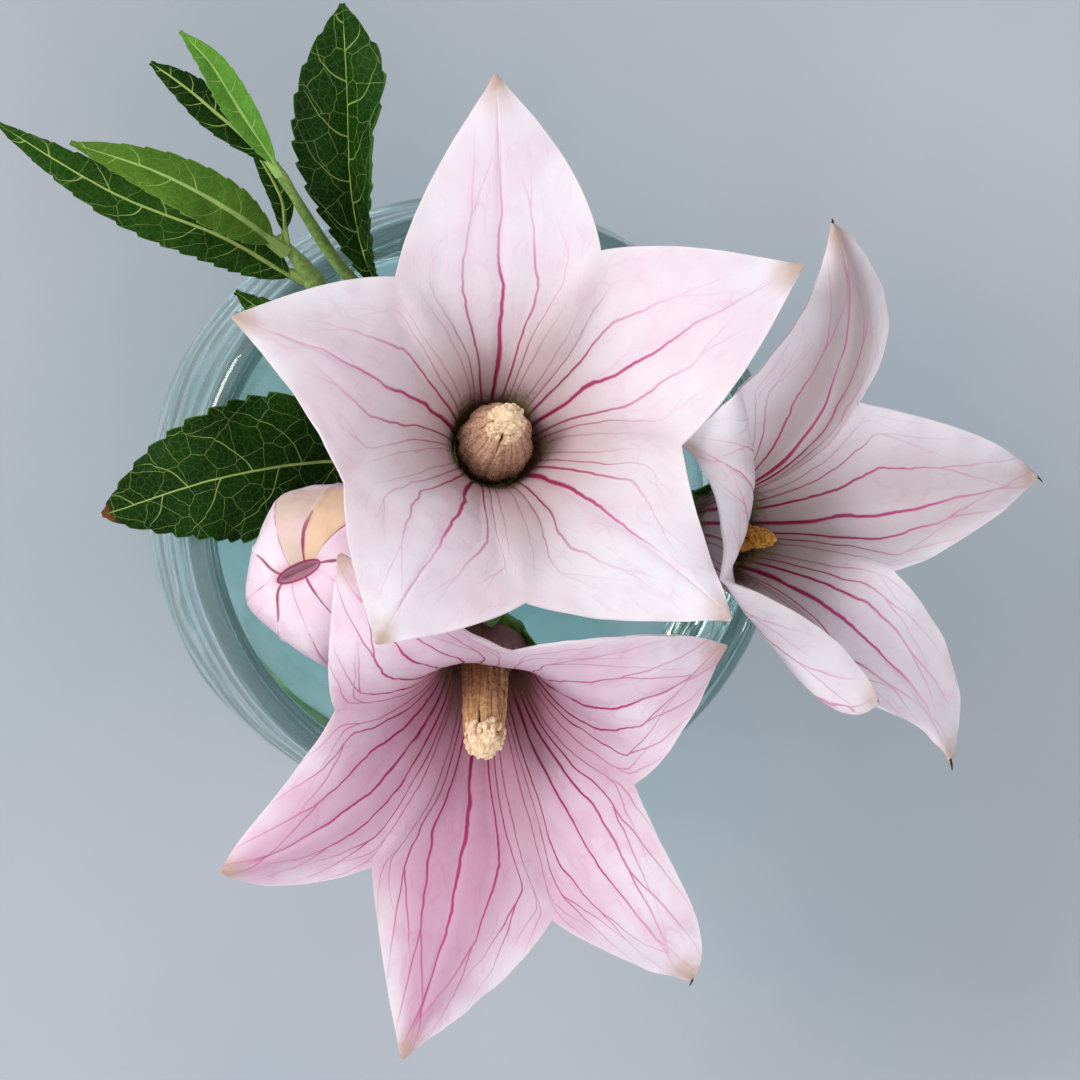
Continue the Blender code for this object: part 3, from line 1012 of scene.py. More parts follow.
@dataclass(frozen=True)
class LeafFinish:
    """A leaf: pale midrib, arching side veins and a fine net, sunk between raised cells."""

    name: str
    dark: Colour = (0.003, 0.017, 0.001)
    light: Colour = (0.010, 0.053, 0.0015)
    vein: Colour = (0.38, 0.52, 0.14)
    rim: Colour = (0.05, 0.14, 0.02)
    length: float = 50.0
    pitch: float = 8.0
    net: float = 1.0
    brown: float = 0.0
    rib: float = 0.36

    def branches(self, g: Graph, u: object, v: object, breadth: object, wander: object) -> Value:
        """Mask of the side veins, which leave the midrib and bend towards the tip.

        Args:
            g: The material's graph.
            u: Place across the leaf from -1 to 1.
            v: Place along the leaf from 0 to 1.
            breadth: Half-width in millimetres.
            wander: A number round 0 that bends the lines.

        Returns:
            The mask.
        """
        side = abs(u)
        reach = (side * 0.45 + side ** 2.6) * breadth
        run = v * self.length - reach
        phase = run / self.pitch + (wander * 0.35 + g.math("GREATER_THAN", u, 0.0) * 0.45)
        away = abs(g.math("FRACT", phase) - 0.5) * self.pitch
        line = g.ease(away, g.ease(side, 0.0, 1.0, 0.17, 0.10), 0.03)
        return line * g.ease(side, 0.97, 0.7)

    def material(self) -> bpy.types.Material:
        """Make the finish.

        Returns:
            The material.
        """
        material, g = new_finish(self.name)
        u, v = g.map_values("lobe")
        across, breadth = (value * 10.0 for value in g.map_values("span"))
        place = g.place()
        wander = g.noise(place, 0.14, 1.5) - 0.5
        # Midrib, side veins and the net in two sizes
        side = abs(u)
        rib_width = g.ease(v, 0.0, 1.0, self.rib, 0.10)
        rib = g.ease(abs(across), rib_width, rib_width * 0.5)
        branch = self.branches(g, u, v, breadth, wander)
        flat = g.vector(across, v * self.length)
        bend = g.out("TexNoise", {"Vector": place, "Scale": 0.5, "Detail": 2.0}, "Color")
        bent = g.out("VectorMath", {0: flat, 1: bend}, operation="ADD")
        lines = []
        for scale, width, strength in ((0.27, 0.017, 0.30), (0.95, 0.05, 0.09)):
            cells = g.out("TexVoronoi", {"Vector": bent, "Scale": scale},
                          feature="DISTANCE_TO_EDGE", voronoi_dimensions="2D")
            lines.append(g.ease(cells, width, 0.01) * (strength * self.net))
        net = g.most(*lines)
        tone, fine = mottle(g, 2.2)
        colour = g.mix(tone, self.dark, self.light)
        colour = g.mix(net, colour, self.vein)
        colour = g.mix(g.ease(side, 0.965, 1.0), colour, self.rim)
        colour = g.mix(branch * 0.7, colour, self.vein)
        colour = g.mix(rib * 0.92, colour, self.vein)
        if self.brown:
            dry = v + wander * 0.05
            colour = g.mix(g.ease(dry, 1.0 - self.brown, 1.0 - self.brown / 3), colour,
                           DEAD_LEAF)
        # Puffed cells between sunk veins
        puffs = g.ease(net, 0.4, 0.0)
        height = puffs * 0.5 + fine * 0.3 - g.most(rib, branch) * 0.9
        thin_tissue(g, colour, g.relief(height, 0.2, 0.6),
                    g.ease(fine, 0.2, 0.8, 0.70, 0.55), 0.10, 0.09)
        return material


@dataclass(frozen=True)
class StemFinish:
    """A green stem or calyx with long pale streaks and fine grain."""

    name: str
    dark: Colour
    light: Colour
    streak: Place = (1.6, 1.6, 0.25)

    def material(self) -> bpy.types.Material:
        """Make the finish.

        Returns:
            The material.
        """
        material, g = new_finish(self.name)
        streaks = g.noise(g.place(self.streak), 1.0, 3.0, 0.6)
        tone, fine = mottle(g, 3.0)
        amount = streaks * 0.7 + tone * 0.3
        colour = g.mix(g.ease(amount, 0.3, 0.7), self.dark, self.light)
        height = streaks + fine * 0.5
        thin_tissue(g, colour, g.relief(height, 0.15, 0.6),
                    g.ease(fine, 0.2, 0.8, 0.55, 0.4), 0.06, 0.4)
        return material


@dataclass(frozen=True)
class PollenFinish:
    """Dry anthers or a crumbly pollen head: streaks, crumbs, a dark foot that is partly painted
    shade and partly the anthers' own smudges, and a pale top.
    """

    name: str
    dark: Colour
    light: Colour
    base: Colour
    base_height: float = 0.0
    top: Colour = (0.74, 0.52, 0.34)
    top_height: float = 2.0
    crumbs: float = 2.0

    def material(self) -> bpy.types.Material:
        """Make the finish.

        Returns:
            The material.
        """
        material, g = new_finish(self.name)
        u, v = g.map_values("lobe")
        crumbs = g.noise(g.place(), self.crumbs, 4.0, 0.7)
        streaks = g.noise(g.vector(u * 9.0, v * 2.2), 1.0, 3.0, 0.65)
        amount = streaks * 0.55 + crumbs * 0.45
        colour = g.mix(g.ease(amount, 0.36, 0.62), self.dark, self.light)
        grain = (amount - 0.5) * 0.9
        # Darker towards the foot: painted shade where the anthers meet the throat, with their own
        # dark smudges
        if self.base_height:
            low = v + grain
            colour = g.mix(g.ease(low, self.base_height, 0.03), colour, self.base)
            high = g.ease(low, self.top_height, self.top_height + 0.25)
            colour = g.mix(high, colour, self.top)
        g.add("OutputMaterial", {"Surface": surface(
            g, colour, g.ease(crumbs, 0.2, 0.8, 0.95, 0.7), g.relief(amount, 0.5, 0.9),
            {"Specular IOR Level": 0.2})})
        return material


@dataclass(frozen=True)
class ClearFinish:
    """Glass or water: clear, tinted, with slow waves in its surface."""

    name: str
    clear: Colour
    tinted: Colour
    bend: float
    waves: float
    roughness: float = 0.0
    clearness: float = 0.93
    passes: float = 3.5

    def material(self) -> bpy.types.Material:
        """Make the finish, which lets light through to what it holds.

        Returns:
            The material.
        """
        material, g = new_finish(self.name)
        rings = g.noise(g.place((0.05, 0.05, 0.20)), 1.0, 1.5)
        drops = g.noise(g.place((1.0, 1.0, 0.6)), 0.085, 2.0, 0.5)
        tone = rings * 0.45 + drops * 0.55
        colour = g.mix(g.ease(tone, 0.38, 0.60), self.clear, self.tinted)
        body = surface(g, colour, g.ease(drops, 0.3, 0.8, 0.0, self.roughness),
                       g.relief(tone, self.waves, 0.8),
                       {"Transmission Weight": self.clearness, "IOR": self.bend})
        clear = g.out("BsdfTransparent", {"Color": colour})
        path = g.add("LightPath").outputs
        deep = g.math("GREATER_THAN", path["Transmission Depth"], self.passes)
        through = g.most(path["Is Shadow Ray"], path["Is Diffuse Ray"], deep)
        both = g.out("MixShader", {0: through, 1: body, 2: clear})
        g.add("OutputMaterial", {"Surface": both})
        return material


# ---------------------------------------------------------------- flowers


@dataclass
class Stalk:
    """A round stem along a smooth route, with swollen joints and slender ends."""

    name: str
    route: Sequence[Place]
    radius: float
    joints: tuple[float, ...] = ()
    end: float = 1.0

    def build(self, material: bpy.types.Material) -> Piece:
        """Make the stem from a bevelled curve.

        Args:
            material: Its finish.

        Returns:
            The finished piece.
        """
        steps = evenly(STEM_STEPS)
        radii = [self.radius * (1.0 + 0.28 * sum(hump(t, joint, 0.018) for joint in self.joints))
                 * blend(1.0, self.end, smooth_step(0.8, 1.0, t)) for t in steps]
        piece = tube([spline(self.route, t) for t in steps], radii)
        return finish_piece(piece, self.name + "_dressed", material, (self.name,))


@dataclass(frozen=True)
class Lobe:
    """One lobe of a corolla: where its tip lies and how its edges and midrib run there.

    Direction, reach and rise place the tip round and along the flower's axis, and crest
    is how high the lobe arches.  Before and after tell how far its two edges bow out near
    their middle and near the tip, as a share of their length.  Swing is how far round
    from the tip the midrib starts, in degrees, and fullness how far out it arches.
    """

    direction: float
    reach: float
    rise: float
    crest: float
    before: tuple[float, float] = EDGE_BOW
    after: tuple[float, float] = EDGE_BOW
    swing: float = 0.0
    fullness: float = 0.6
    thread: bool = False

    def tip(self) -> Vector:
        """Its tip."""
        return polar(self.direction, self.reach, self.rise)

    def rib(self, t: float) -> Vector:
        """Reach and rise on the curve from the throat to the tip.

        Args:
            t: Place along the midrib from 0 to 1.

        Returns:
            The reach and the rise, as x and y.
        """
        return bezier(((THROAT_RADIUS, 0, 0), (THROAT_RADIUS + 2, 0.55 * self.crest, 0),
                       (self.fullness * self.reach, self.crest, 0),
                       (self.reach, self.rise, 0)), t)

    def margin(self, cleft: Place, side: int, t: float) -> Vector:
        """Point on a free edge.

        Args:
            cleft: Direction, reach and rise of the cleft where the edge starts.
            side: -1 for the first edge, 1 for the second.
            t: Place along the edge, from its cleft to the tip.

        Returns:
            The point.
        """
        bow = self.before if side < 0 else self.after
        start, tip = polar(*cleft), self.tip()
        along = tip - start
        aside = Vector((0, 0, 1)).cross(along).normalized() * side
        belly = start + along * 0.4 + aside * bow[0] * along.length
        belly.z = blend(start.z, max(self.crest, tip.z), 0.5)
        shoulder = start + along * 0.8 + aside * bow[1] * along.length
        return bezier((start, belly, shoulder, tip + aside * 0.12), t)


def seam(cleft: Place, t: float) -> Vector:
    """Reach and rise on the curve from the throat to a cleft.

    Args:
        cleft: Direction, reach and rise of the cleft.
        t: Place along the seam from 0 to 1.

    Returns:
        The reach and the rise, as x and y.
    """
    _, reach, rise = cleft
    return bezier(((THROAT_RADIUS, 0, 0), (THROAT_RADIUS + 1.5, 0.6 * rise, 0),
                   (0.7 * reach, 0.95 * rise, 0), (reach, rise, 0)), t)


@dataclass
class Bloom:
    """A flower or bud: its corolla's foot, how it leans and the stem below it.

    A cleft is (direction, reach, rise), and cleft i follows lobe i anticlockwise.
    """

    name: str
    base: Place
    lean: float
    heading: float
    stem: tuple[Place, ...]
    finish: PetalFinish
    slot: Slot
    lobes: tuple[Lobe, ...] = ()
    clefts: tuple[Place, ...] = ()
    stem_radius: float = 1.3
    tooth_spread: float = 2.0
    smoothing: int = 14

    def axis(self) -> Matrix:
        """Place and lean of the flower, in millimetres."""
        turn = turn_about("Z", self.heading)
        return Matrix.Translation(self.base) @ turn @ turn_about("Y", self.lean) @ turn.inverted()

    def stand(self, piece: Piece) -> None:
        """Carry a piece from the flower's own frame to its place."""
        axis = self.axis()
        shape_points(piece, lambda point: axis @ point)

    def point(self, i: int, u: float, v: float) -> Vector:
        """Point on a lobe.

        Args:
            i: Number of the lobe.
            u: Place across it, from cleft to cleft.
            v: Place along it, from the throat to the tip.

        Returns:
            The point, in the flower's own frame.
        """
        lobe = self.lobes[i]
        clefts = (self.clefts[i - 1], self.clefts[i])
        middle = lobe.rib(v)
        direction = lobe.direction + lobe.swing * (1 - v * v)
        middle_point = polar(direction, middle.x, middle.y)
        if v <= SPLIT:
            seams = [seam(cleft, v / SPLIT) for cleft in clefts]
            edges = [polar(cleft[0], place.x, place.y) for cleft, place in zip(clefts, seams)]
        else:
            t = (v - SPLIT) / (1 - SPLIT)
            edges = [lobe.margin(cleft, side, t) for cleft, side in zip(clefts, (-1, 1))]
        spanned = (edges[0] * (u * (u - 1) / 2) + middle_point * (1 - u * u)
                   + edges[1] * (u * (u + 1) / 2))
        if v > SPLIT:
            return spanned
        near = int(u > 0)
        share = (1 + math.cos(math.pi * u)) / 2
        place = seams[near].lerp(middle, share)
        turn = (clefts[near][0] - direction + 180) % 360 - 180
        round_bell = polar(direction + turn * abs(u), place.x, place.y)
        return round_bell.lerp(spanned, smooth_step(0.4 * SPLIT, SPLIT, v))

    def tissue(self, side: float, v: float, place: Vector) -> float:
        """Rise of the tissue: a creased midrib, sunk veins and soft puffs.

        Args:
            side: Place across the lobe, from its midrib (0) to its edge (1).
            v: Place along the lobe, from the throat to the tip.
            place: The point, in millimetres.

        Returns:
            The rise in millimetres.
        """
        crease = -0.22 * hump(side, 0, 0.055) * smooth_step(1.0, 0.8, v)
        for spot in (0.34, 0.62):
            crease -= 0.09 * hump(side, spot, 0.05) * smooth_step(0.8, 0.5, v)
        puffs = 0.22 * noise.noise(place * 0.16) + 0.10 * noise.noise(place * 0.45)
        free = smooth_step(SPLIT, SPLIT + 0.1, v) * side ** 6
        ripple = 0.5 * noise.noise(place * 0.28 + Vector((9, 4, 2))) * free
        return -(crease + puffs * smooth_step(0.05, 0.3, v) + ripple)

    def build_corolla(self) -> None:
        """The five fused petals as one thin bell, with the dry threads at their tips."""
        lobes = [Cloth(*LOBE_GRID, lambda u, v, i=i: self.point(i, u, v)).build(i / 10)
                 for i in range(PETALS)]
        piece = join(lobes)
        weld(piece, LOBE_WELD)
        soften(piece, self.smoothing)
        place_pattern(piece, self.tissue)
        add_modifier(piece, "SOLIDIFY", thickness=PETAL_THICKNESS * MM, offset=0.0, use_rim=True)
        threads = [self.thread(i) for i, lobe in enumerate(self.lobes) if lobe.thread]
        piece = join([piece, *threads])
        self.stand(piece)
        finish_piece(piece, self.name + "_petals", self.finish.material(),
                     (self.name + "_corolla",))

    def thread(self, i: int) -> Piece:
        """The short dark thread, curled to one side, in which a lobe ends.

        Args:
            i: Number of the lobe.

        Returns:
            The closed thread.
        """
        lobe = self.lobes[i]
        tip = lobe.tip()
        out = (tip - polar(lobe.direction, 0.85 * lobe.reach, lobe.rise)).normalized()
        aside = Vector((-out.y, out.x, 0)) * (1 if i % 2 else -1)
        steps = evenly(THREAD_STEPS)
        points = [tip + out * (1.9 * t - 0.8 * t * t - 0.5) + aside * (1.0 * t ** 2.2)
                  + Vector((0, 0, 0.6 * t * t)) for t in steps]
        return tube(points, [0.19 * (1 - t) ** 0.7 + 0.04 for t in steps], (0, 1, i / 10))

    def build_calyx(self, material: bpy.types.Material) -> None:
        """The ribbed green ovary under the corolla, with its five pointed teeth.

        Args:
            material: Its finish.
        """
        profile = [(1.3, -CALYX_LENGTH), (0.45 * CALYX_RADIUS, -0.92 * CALYX_LENGTH),
                   (0.66 * CALYX_RADIUS, -0.74 * CALYX_LENGTH),
                   (0.86 * CALYX_RADIUS, -0.5 * CALYX_LENGTH),
                   (CALYX_RADIUS, -0.3 * CALYX_LENGTH), (CALYX_RADIUS + 0.6, -1.3),
                   (CALYX_RADIUS - 0.2, -0.8)]
        body = turned(profile, ROUND_STEPS)
        add_modifier(body, "SUBSURF", levels=1, render_levels=1)

        def ribbed(point: Vector) -> Vector:
            """Ten soft ribs down the ovary."""
            return widened(point, 1 + 0.035 * math.cos(10 * math.atan2(point.y, point.x)))
        shape_points(body, ribbed)
        piece = join([body] + [self.tooth(18 + FIFTH * i) for i in range(PETALS)])
        self.stand(piece)
        finish_piece(piece, self.name + "_calyx_green", material,
                     (self.name + "_calyx",))

    def tooth(self, direction: float) -> Piece:
        """One pointed calyx tooth, bent out from the shoulder.

        Args:
            direction: Its direction round the calyx, in degrees.

        Returns:
            The closed tooth.
        """
        leave_none_selected()
        bpy.ops.mesh.primitive_cone_add(vertices=14, radius1=1.9 * MM, radius2=0.12 * MM,
                                        depth=TOOTH_LENGTH * MM, end_fill_type="NGON")
        piece = bpy.context.object
        in_edit_mode(piece, lambda: bpy.ops.mesh.subdivide(number_cuts=5))

        def bent(point: Vector) -> Vector:
            """Flatten the cone and lean it outwards as it rises.

            Args:
                point: Point on the upright cone.

            Returns:
                Its place on the calyx.
            """
            t = point.z / TOOTH_LENGTH + 0.5
            out = CALYX_RADIUS - 0.5 + 2 * self.tooth_spread * t ** 1.3
            lift = blend(-2.6, TOOTH_LENGTH - 2.0, t)
            flat = Vector((out + point.y * 0.3, point.x * (1 + 0.3 * math.sin(3 * t)), lift))
            return turn_about("Z", direction, 3) @ flat
        shape_points(piece, bent)
        return piece

    def stem_route(self) -> list[Vector]:
        """The way that the flower's stem takes.

        Returns:
            Points from the bowl's floor to just under the ovary.
        """
        axis = self.axis()
        ends = [axis @ Vector((0, 0, -CALYX_LENGTH - drop)) for drop in (5, STEM_GAP)]
        return [*(Vector(point) for point in reversed(self.stem)), *ends]


@dataclass
class Flower(Bloom):
    """An open flower with five anthers pressed round its style.

    Girth lists the radii of the anthers' column from its foot to its neck, and head is
    the radius of the pollen-covered end.
    """

    anther: PollenFinish | None = None
    pollen: PollenFinish | None = None
    column: float = 16.5
    column_shift: tuple[float, float] = (0, 0)
    girth: tuple[float, ...] = (4.3, 4.4, 3.8, 3.1, 2.6)
    head: float = 2.7
    point_length: float = 3.2

    def centre(self, height: float) -> Vector:
        """Centre of the column at a height; it may lean a little towards its end."""
        share = max(height, 0) / self.column
        return Vector((*self.column_shift, 0)) * share ** 1.5

    def ring(self, t: float) -> float:
        """Distance of an anther from the axis, from its foot (0) to its end (1)."""
        return spline([(radius, 0, 0) for radius in self.girth], t).x / COLUMN_BULGE

    def build_anther(self, i: int) -> Piece:
        """One anther: a flat ribbon primitive rolled into a grooved, broad-footed bar.

        Args:
            i: Its number round the column.

        Returns:
            The closed anther.
        """
        length = self.column - STYLE_TIP
        turn = turn_about("Z", FIFTH * i, 3)

        def place(u: float, v: float) -> Vector:
            """Point on the anther's skin.

            Args:
                u: Place round it, from -1 to 1.
                v: Place along it, from its foot (0) to its end (1).

            Returns:
                The point, in the flower's own frame.
            """
            angle = math.pi * (u + 1)
            full = max(math.sin(math.pi * min(0.10 + v * 0.87, 1)), 0.0) ** 0.2
            half = 0.78 * self.ring(v) * full
            groove = 1 - 0.30 * hump(math.sin(angle / 2), 0, 0.14)
            side = Vector((math.cos(angle) * 0.47 * groove, math.sin(angle), 0)) * half
            height = blend(0.3, length, v)
            return (turn @ Vector((self.ring(v) + side.x, side.y, height))
                    + self.centre(height))
        piece = Cloth(*ANTHER_GRID, place).build(i / 10)
        weld(piece, ANTHER_WELD)
        in_edit_mode(piece, self.cap_ends)
        return piece

    def cap_ends(self) -> None:
        """Fill the open ends of a rolled ribbon and turn its faces outwards."""
        select_free_edges()
        bpy.ops.mesh.fill_holes(sides=0)
        bpy.ops.mesh.select_all(action="SELECT")
        bpy.ops.mesh.normals_make_consistent(inside=False)

    def build_foot(self) -> Piece:
        """The shaggy brown ring that the anthers' feet make in the throat.

        Returns:
            The closed ring.
        """
        foot = turned([(0.9, 0.30), (3.4, 0.34), (4.6, 0.16), (4.85, 0.45), (4.4, 1.0),
                       (3.5, 1.5), (2.2, 1.7), (0.9, 1.8)], ROUND_STEPS)
        add_modifier(foot, "SUBSURF", levels=1, render_levels=1)
        return foot

    def scatter(self, first: Piece, count: int,
                place: Callable[[random.Random], Matrix]) -> list[Piece]:
        """Copies of one small piece, each moved by its own matrix.

        Args:
            first: The piece, which is moved too.
            count: How many there are in the end.
            place: Draws one matrix, in millimetres.

        Returns:
            All of them.
        """
        draw = random.Random(len(self.name))
        pieces = [first]
        for _ in range(count - 1):
            piece = first.copy()
            piece.data = first.data.copy()
            bpy.context.scene.collection.objects.link(piece)
            pieces.append(piece)
        for piece in pieces:
            matrix = place(draw)
            shape_points(piece, lambda point, matrix=matrix: matrix @ point)
        return pieces

    def build_hairs(self) -> list[Piece]:
        """Short stiff hairs round the foot and up the column, each its own small cone.

        Returns:
            The hairs.
        """
        leave_none_selected()
        bpy.ops.mesh.primitive_cone_add(vertices=3, radius1=0.09 * MM, radius2=0.012 * MM,
                                        depth=1.9 * MM, location=(0, 0, 0.8 * MM))
        first = bpy.context.object
        bpy.ops.object.transform_apply()

        def rooted(draw: random.Random) -> Matrix:
            """A place in the foot's ring, or lower on the column's side.

            Args:
                draw: Source of the random numbers.

            Returns:
                The matrix that carries a hair there.
            """
            turn = draw.uniform(0, 360)
            lean = turn_about("Y", draw.uniform(-55, 25))
            twist = turn_about("X", draw.uniform(-40, 40))
            if draw.random() < 0.62:
                out = HAIR_RING + HAIR_RING_WIDTH * draw.random() ** 0.7
                foot = Vector((out, 0, blend(2.4, 0.7, (out - HAIR_RING) / HAIR_RING_WIDTH)))
            else:
                t = 0.1 + 0.5 * draw.random()
                height = t * (self.column - STYLE_TIP)
                foot = Vector((1.33 * self.ring(t), 0, height)) + self.centre(height)
                lean = turn_about("Y", draw.uniform(15, 80)) @ Matrix.Scale(0.6, 4)
            return turn_about("Z", turn) @ Matrix.Translation(foot) @ twist @ lean
        return self.scatter(first, HAIRS, rooted)

    def build_crumbs(self, neck: float) -> list[Piece]:
        """Crumbs of pollen on the style's end, each its own small lump.

        Args:
            neck: Height where the style's end starts, in millimetres.

        Returns:
            The crumbs.
        """
        leave_none_selected()
        bpy.ops.mesh.primitive_ico_sphere_add(subdivisions=2, radius=0.42 * MM)
        first = bpy.context.object

        def stuck(draw: random.Random) -> Matrix:
            """A place on the head's skin, in one of its five ridges more often.

            Args:
                draw: Source of the random numbers.

            Returns:
                The matrix that carries a crumb there.
            """
            t = draw.random()
            lobe = FIFTH * draw.randrange(PETALS) + draw.gauss(0, 17)
            out = self.head * 0.92 * math.cos(math.pi / 2 * t ** 1.6)
            height = neck - 1.6 + (self.point_length + 1.5) * t
            size = Matrix.Diagonal((draw.uniform(0.6, 1.4), draw.uniform(0.6, 1.3),
                                    draw.uniform(0.8, 1.9), 1))
            spot = polar(lobe, out, height) + self.centre(height)
            tumble = Matrix.Rotation(draw.uniform(-0.7, 0.7), 4, "Y")
            return Matrix.Translation(spot) @ turn_about("Z", lobe) @ tumble @ size
        return self.scatter(first, CRUMBS, stuck)

    def build_column(self) -> None:
        """The anthers round the style, and the style's pollen-covered end."""
        piece = join([self.build_anther(i) for i in range(PETALS)] + [self.build_foot()])
        roughen(piece, 0.7, 0.34)
        piece = join([piece, *self.build_hairs()])
        self.stand(piece)
        finish_piece(piece, self.name + "_anthers", self.anther.material(),
                     [f"{self.name}_stamen_{i + 1}" for i in range(PETALS)])
        neck = self.column - STYLE_TIP
        wide, tall = self.head * 0.86, self.point_length
        profile = [(0.75, 0.4), (0.8, neck * 0.5), (0.8, neck - 2.0), (0.7 * wide, neck - 1.5),
                   (0.95 * wide, neck - 0.6), (wide, neck + 0.1 * tall),
                   (0.97 * wide, neck + 0.35 * tall), (0.8 * wide, neck + 0.65 * tall),
                   (0.5 * wide, neck + 0.85 * tall), (0.2 * wide, neck + 0.95 * tall)]
        head = turned(profile, ROUND_STEPS)

        def ridged(point: Vector) -> Vector:
            """Five grooves down the head, and the column's lean.

            Args:
                point: Point on the plain round head.

            Returns:
                Its new place.
            """
            angle = math.atan2(point.y, point.x)
            deep = smooth_step(neck - 2, neck, point.z)
            swell = 1 - 0.16 * deep * (1 - abs(math.cos(2.5 * angle)))
            return widened(point, swell) + self.centre(point.z)
        add_modifier(head, "SUBSURF", levels=2, render_levels=2)
        shape_points(head, ridged)
        roughen(head, 0.9, 0.7)
        crumbs = join(self.build_crumbs(neck))
        roughen(crumbs, 0.4, 0.3)
        head = join([head, crumbs])
        self.stand(head)
        finish_piece(head, self.name + "_pollen", self.pollen.material(),
                     (self.name + "_style",))


@dataclass
class Bud(Bloom):
    """A balloon-shaped bud with five angles, open only at a short slit in its tip."""

    def point(self, i: int, u: float, v: float) -> Vector:
        """Point on a petal: up the balloon, then down into the slit in its tip.

        Args:
            i: Number of the petal.
            u: Place across it, from seam to seam.
            v: Place along it, from the throat to the bottom of the slit.

        Returns:
            The point, in the bud's own frame.
        """
        t = min(v / BUD_LIP, 1.0)
        place = bezier(((THROAT_RADIUS, 0, 0), (1.05 * BUD_RADIUS, 0.1 * BUD_LENGTH, 0),
                        (1.36 * BUD_RADIUS, 0.9 * BUD_LENGTH, 0),
                        (0.5 * BUD_RADIUS, BUD_LENGTH, 0), (BUD_MOUTH, 0.93 * BUD_LENGTH, 0)), t)
        inward = max(v - BUD_LIP, 0) / (1 - BUD_LIP)
        flat = 1 - BUD_RIDGE * abs(u) * (2 - abs(u)) * math.sin(math.pi * t)
        turn = BUD_TURN + FIFTH * i + FIFTH / 2 * u
        slit = math.cos(math.radians(turn - BUD_SLIT_DIRECTION)) * smooth_step(0.75, 1, t)
        shift = Vector((*BUD_MOUTH_SHIFT, 0)) * smooth_step(0.55, 1, t)
        return (polar(turn, place.x * flat * (1 - 0.9 * inward), place.y - 1.0 * inward)
                + polar(BUD_SLIT_DIRECTION, BUD_SLIT_REACH * slit, 0) + shift)

    def tissue(self, side: float, v: float, place: Vector) -> float:
        """Rise of the tissue: a raised midrib, sunk seams and puffs.

        Args:
            side: Place across the petal, from its midrib (0) to its seam (1).
            v: Place along the petal, from the throat to the tip.
            place: The point, in millimetres.

        Returns:
            The rise in millimetres.
        """
        ridge = 0.15 * hump(side, 0, 0.05) * smooth_step(1.0, 0.85, v)
        sunk = -0.2 * hump(1 - side, 0, 0.05) * smooth_step(1.0, 0.85, v)
        return (-(ridge + sunk) - 0.3 * noise.noise(place * 0.18)
                - 0.12 * noise.noise(place * 0.5))


# ---------------------------------------------------------------- leaves


@dataclass
class LeafBlade:
    """A blade: points along its midrib, its width, the lift of its halves and its teeth."""

    name: str
    midrib: tuple[Place, ...]
    width: float
    finish: LeafFinish
    slot: Slot = Slot.DARK_LEAF
    folds: tuple[float, float] = (8, 8)
    fullness: float = 0.8
    peak: float = 0.42
    teeth: int = 16
    tooth: float = 0.45
    wave: float = 0.5
    stalk: float = 0.5
    foot: Place | None = None
    tip_folds: tuple[float, float] | None = None

    def half_width(self, t: float) -> float:
        """Half-width of the blade along its midrib, without its teeth."""
        skewed = t ** (math.log(0.5) / math.log(self.peak))
        return max(self.width / 2 * abs(math.sin(math.pi * skewed)) ** self.fullness, LEAF_END)

    def frame(self, v: float) -> tuple[Vector, Vector, Vector]:
        """The midrib's own directions.

        Args:
            v: Place along it from 0 to 1.

        Returns:
            Its centre there, the way to its side and the way up from it.
        """
        ahead = spline(self.midrib, min(v + 0.02, 1)) - spline(self.midrib, max(v - 0.02, 0))
        ahead.normalize()
        side = ahead.cross(Vector((0, 0, 1))).normalized()
        return spline(self.midrib, v), side, side.cross(ahead)

    def point(self, u: float, v: float) -> Vector:
        """Point on the blade.

        Args:
            u: Place across it from -1 to 1.
            v: Place along it from 0 to 1.

        Returns:
            The point, in millimetres.
        """
        centre, side, up = self.frame(v)
        half = self.half_width(v)
        saw = (v * self.teeth + (0.3 if u > 0 else 0.0)) % 1
        cut = self.tooth * (1 - saw) ** 1.4 * min(half / 2, 1) * smooth_step(0.06, 0.2, v)
        lift = math.radians(self.folds[int(u > 0)])
        if self.tip_folds:
            lift = blend(lift, math.radians(self.tip_folds[int(u > 0)]),
                         smooth_step(0.68, 0.95, v))
        out = side * math.copysign(math.cos(lift), u) + up * math.sin(lift)
        place = centre + out * abs(u) * (half - cut * abs(u) ** 8)
        ripple = math.sin(v * self.teeth * 1.3 + (2.1 if u > 0 else 0)) * abs(u) ** 2
        arch = 0.24 * half * abs(u) * (1 - abs(u))
        return place + up * (self.wave * ripple * half / 8 + arch)

    def tissue(self, side: float, v: float, place: Vector) -> float:
        """Rise of the blade, in millimetres: a sunk midrib between soft puffs."""
        sunk = -0.18 * hump(side, 0, 0.05) * smooth_step(1.0, 0.7, v)
        return -(sunk + 0.16 * noise.noise(place * 0.5))

    def petiole(self) -> Piece:
        """The round rib below the blade, which is thickest at the leaf's foot.

        Returns:
            The closed rib.
        """
        points, radii = [], []
        for v in (0, 0.06, 0.14, 0.25, 0.4, 0.6, 0.8, 0.96):
            centre, _, up = self.frame(v)
            swell = max(self.stalk - 0.45, 0) * math.exp(-v / 0.07)
            radii.append(min(self.stalk, 0.45) * (1 - v) ** 0.8 + 0.06 + swell)
            points.append(centre - up * (0.55 * radii[-1]))
        if self.foot:
            points[0] = Vector(self.foot)
        steps = evenly(RIB_STEPS)
        radii = np.interp([t * (len(points) - 1) for t in steps], range(len(points)), radii)
        points = [spline(points, t) for t in steps]
        return tube(points, radii, (0, 0.3, 0))

    def build(self) -> None:
        """Make the blade and its rib."""
        piece = Cloth(*LEAF_GRID, self.point).build()
        place_pattern(piece, self.tissue)
        add_modifier(piece, "SOLIDIFY", thickness=LEAF_THICKNESS * MM, offset=0.0, use_rim=True)
        close_up(piece, FINE_WELD)
        piece = join([piece, self.petiole()])
        finish_piece(piece, self.name + "_blade", self.finish.material(),
                     (self.name,))


# ---------------------------------------------------------------- bowl


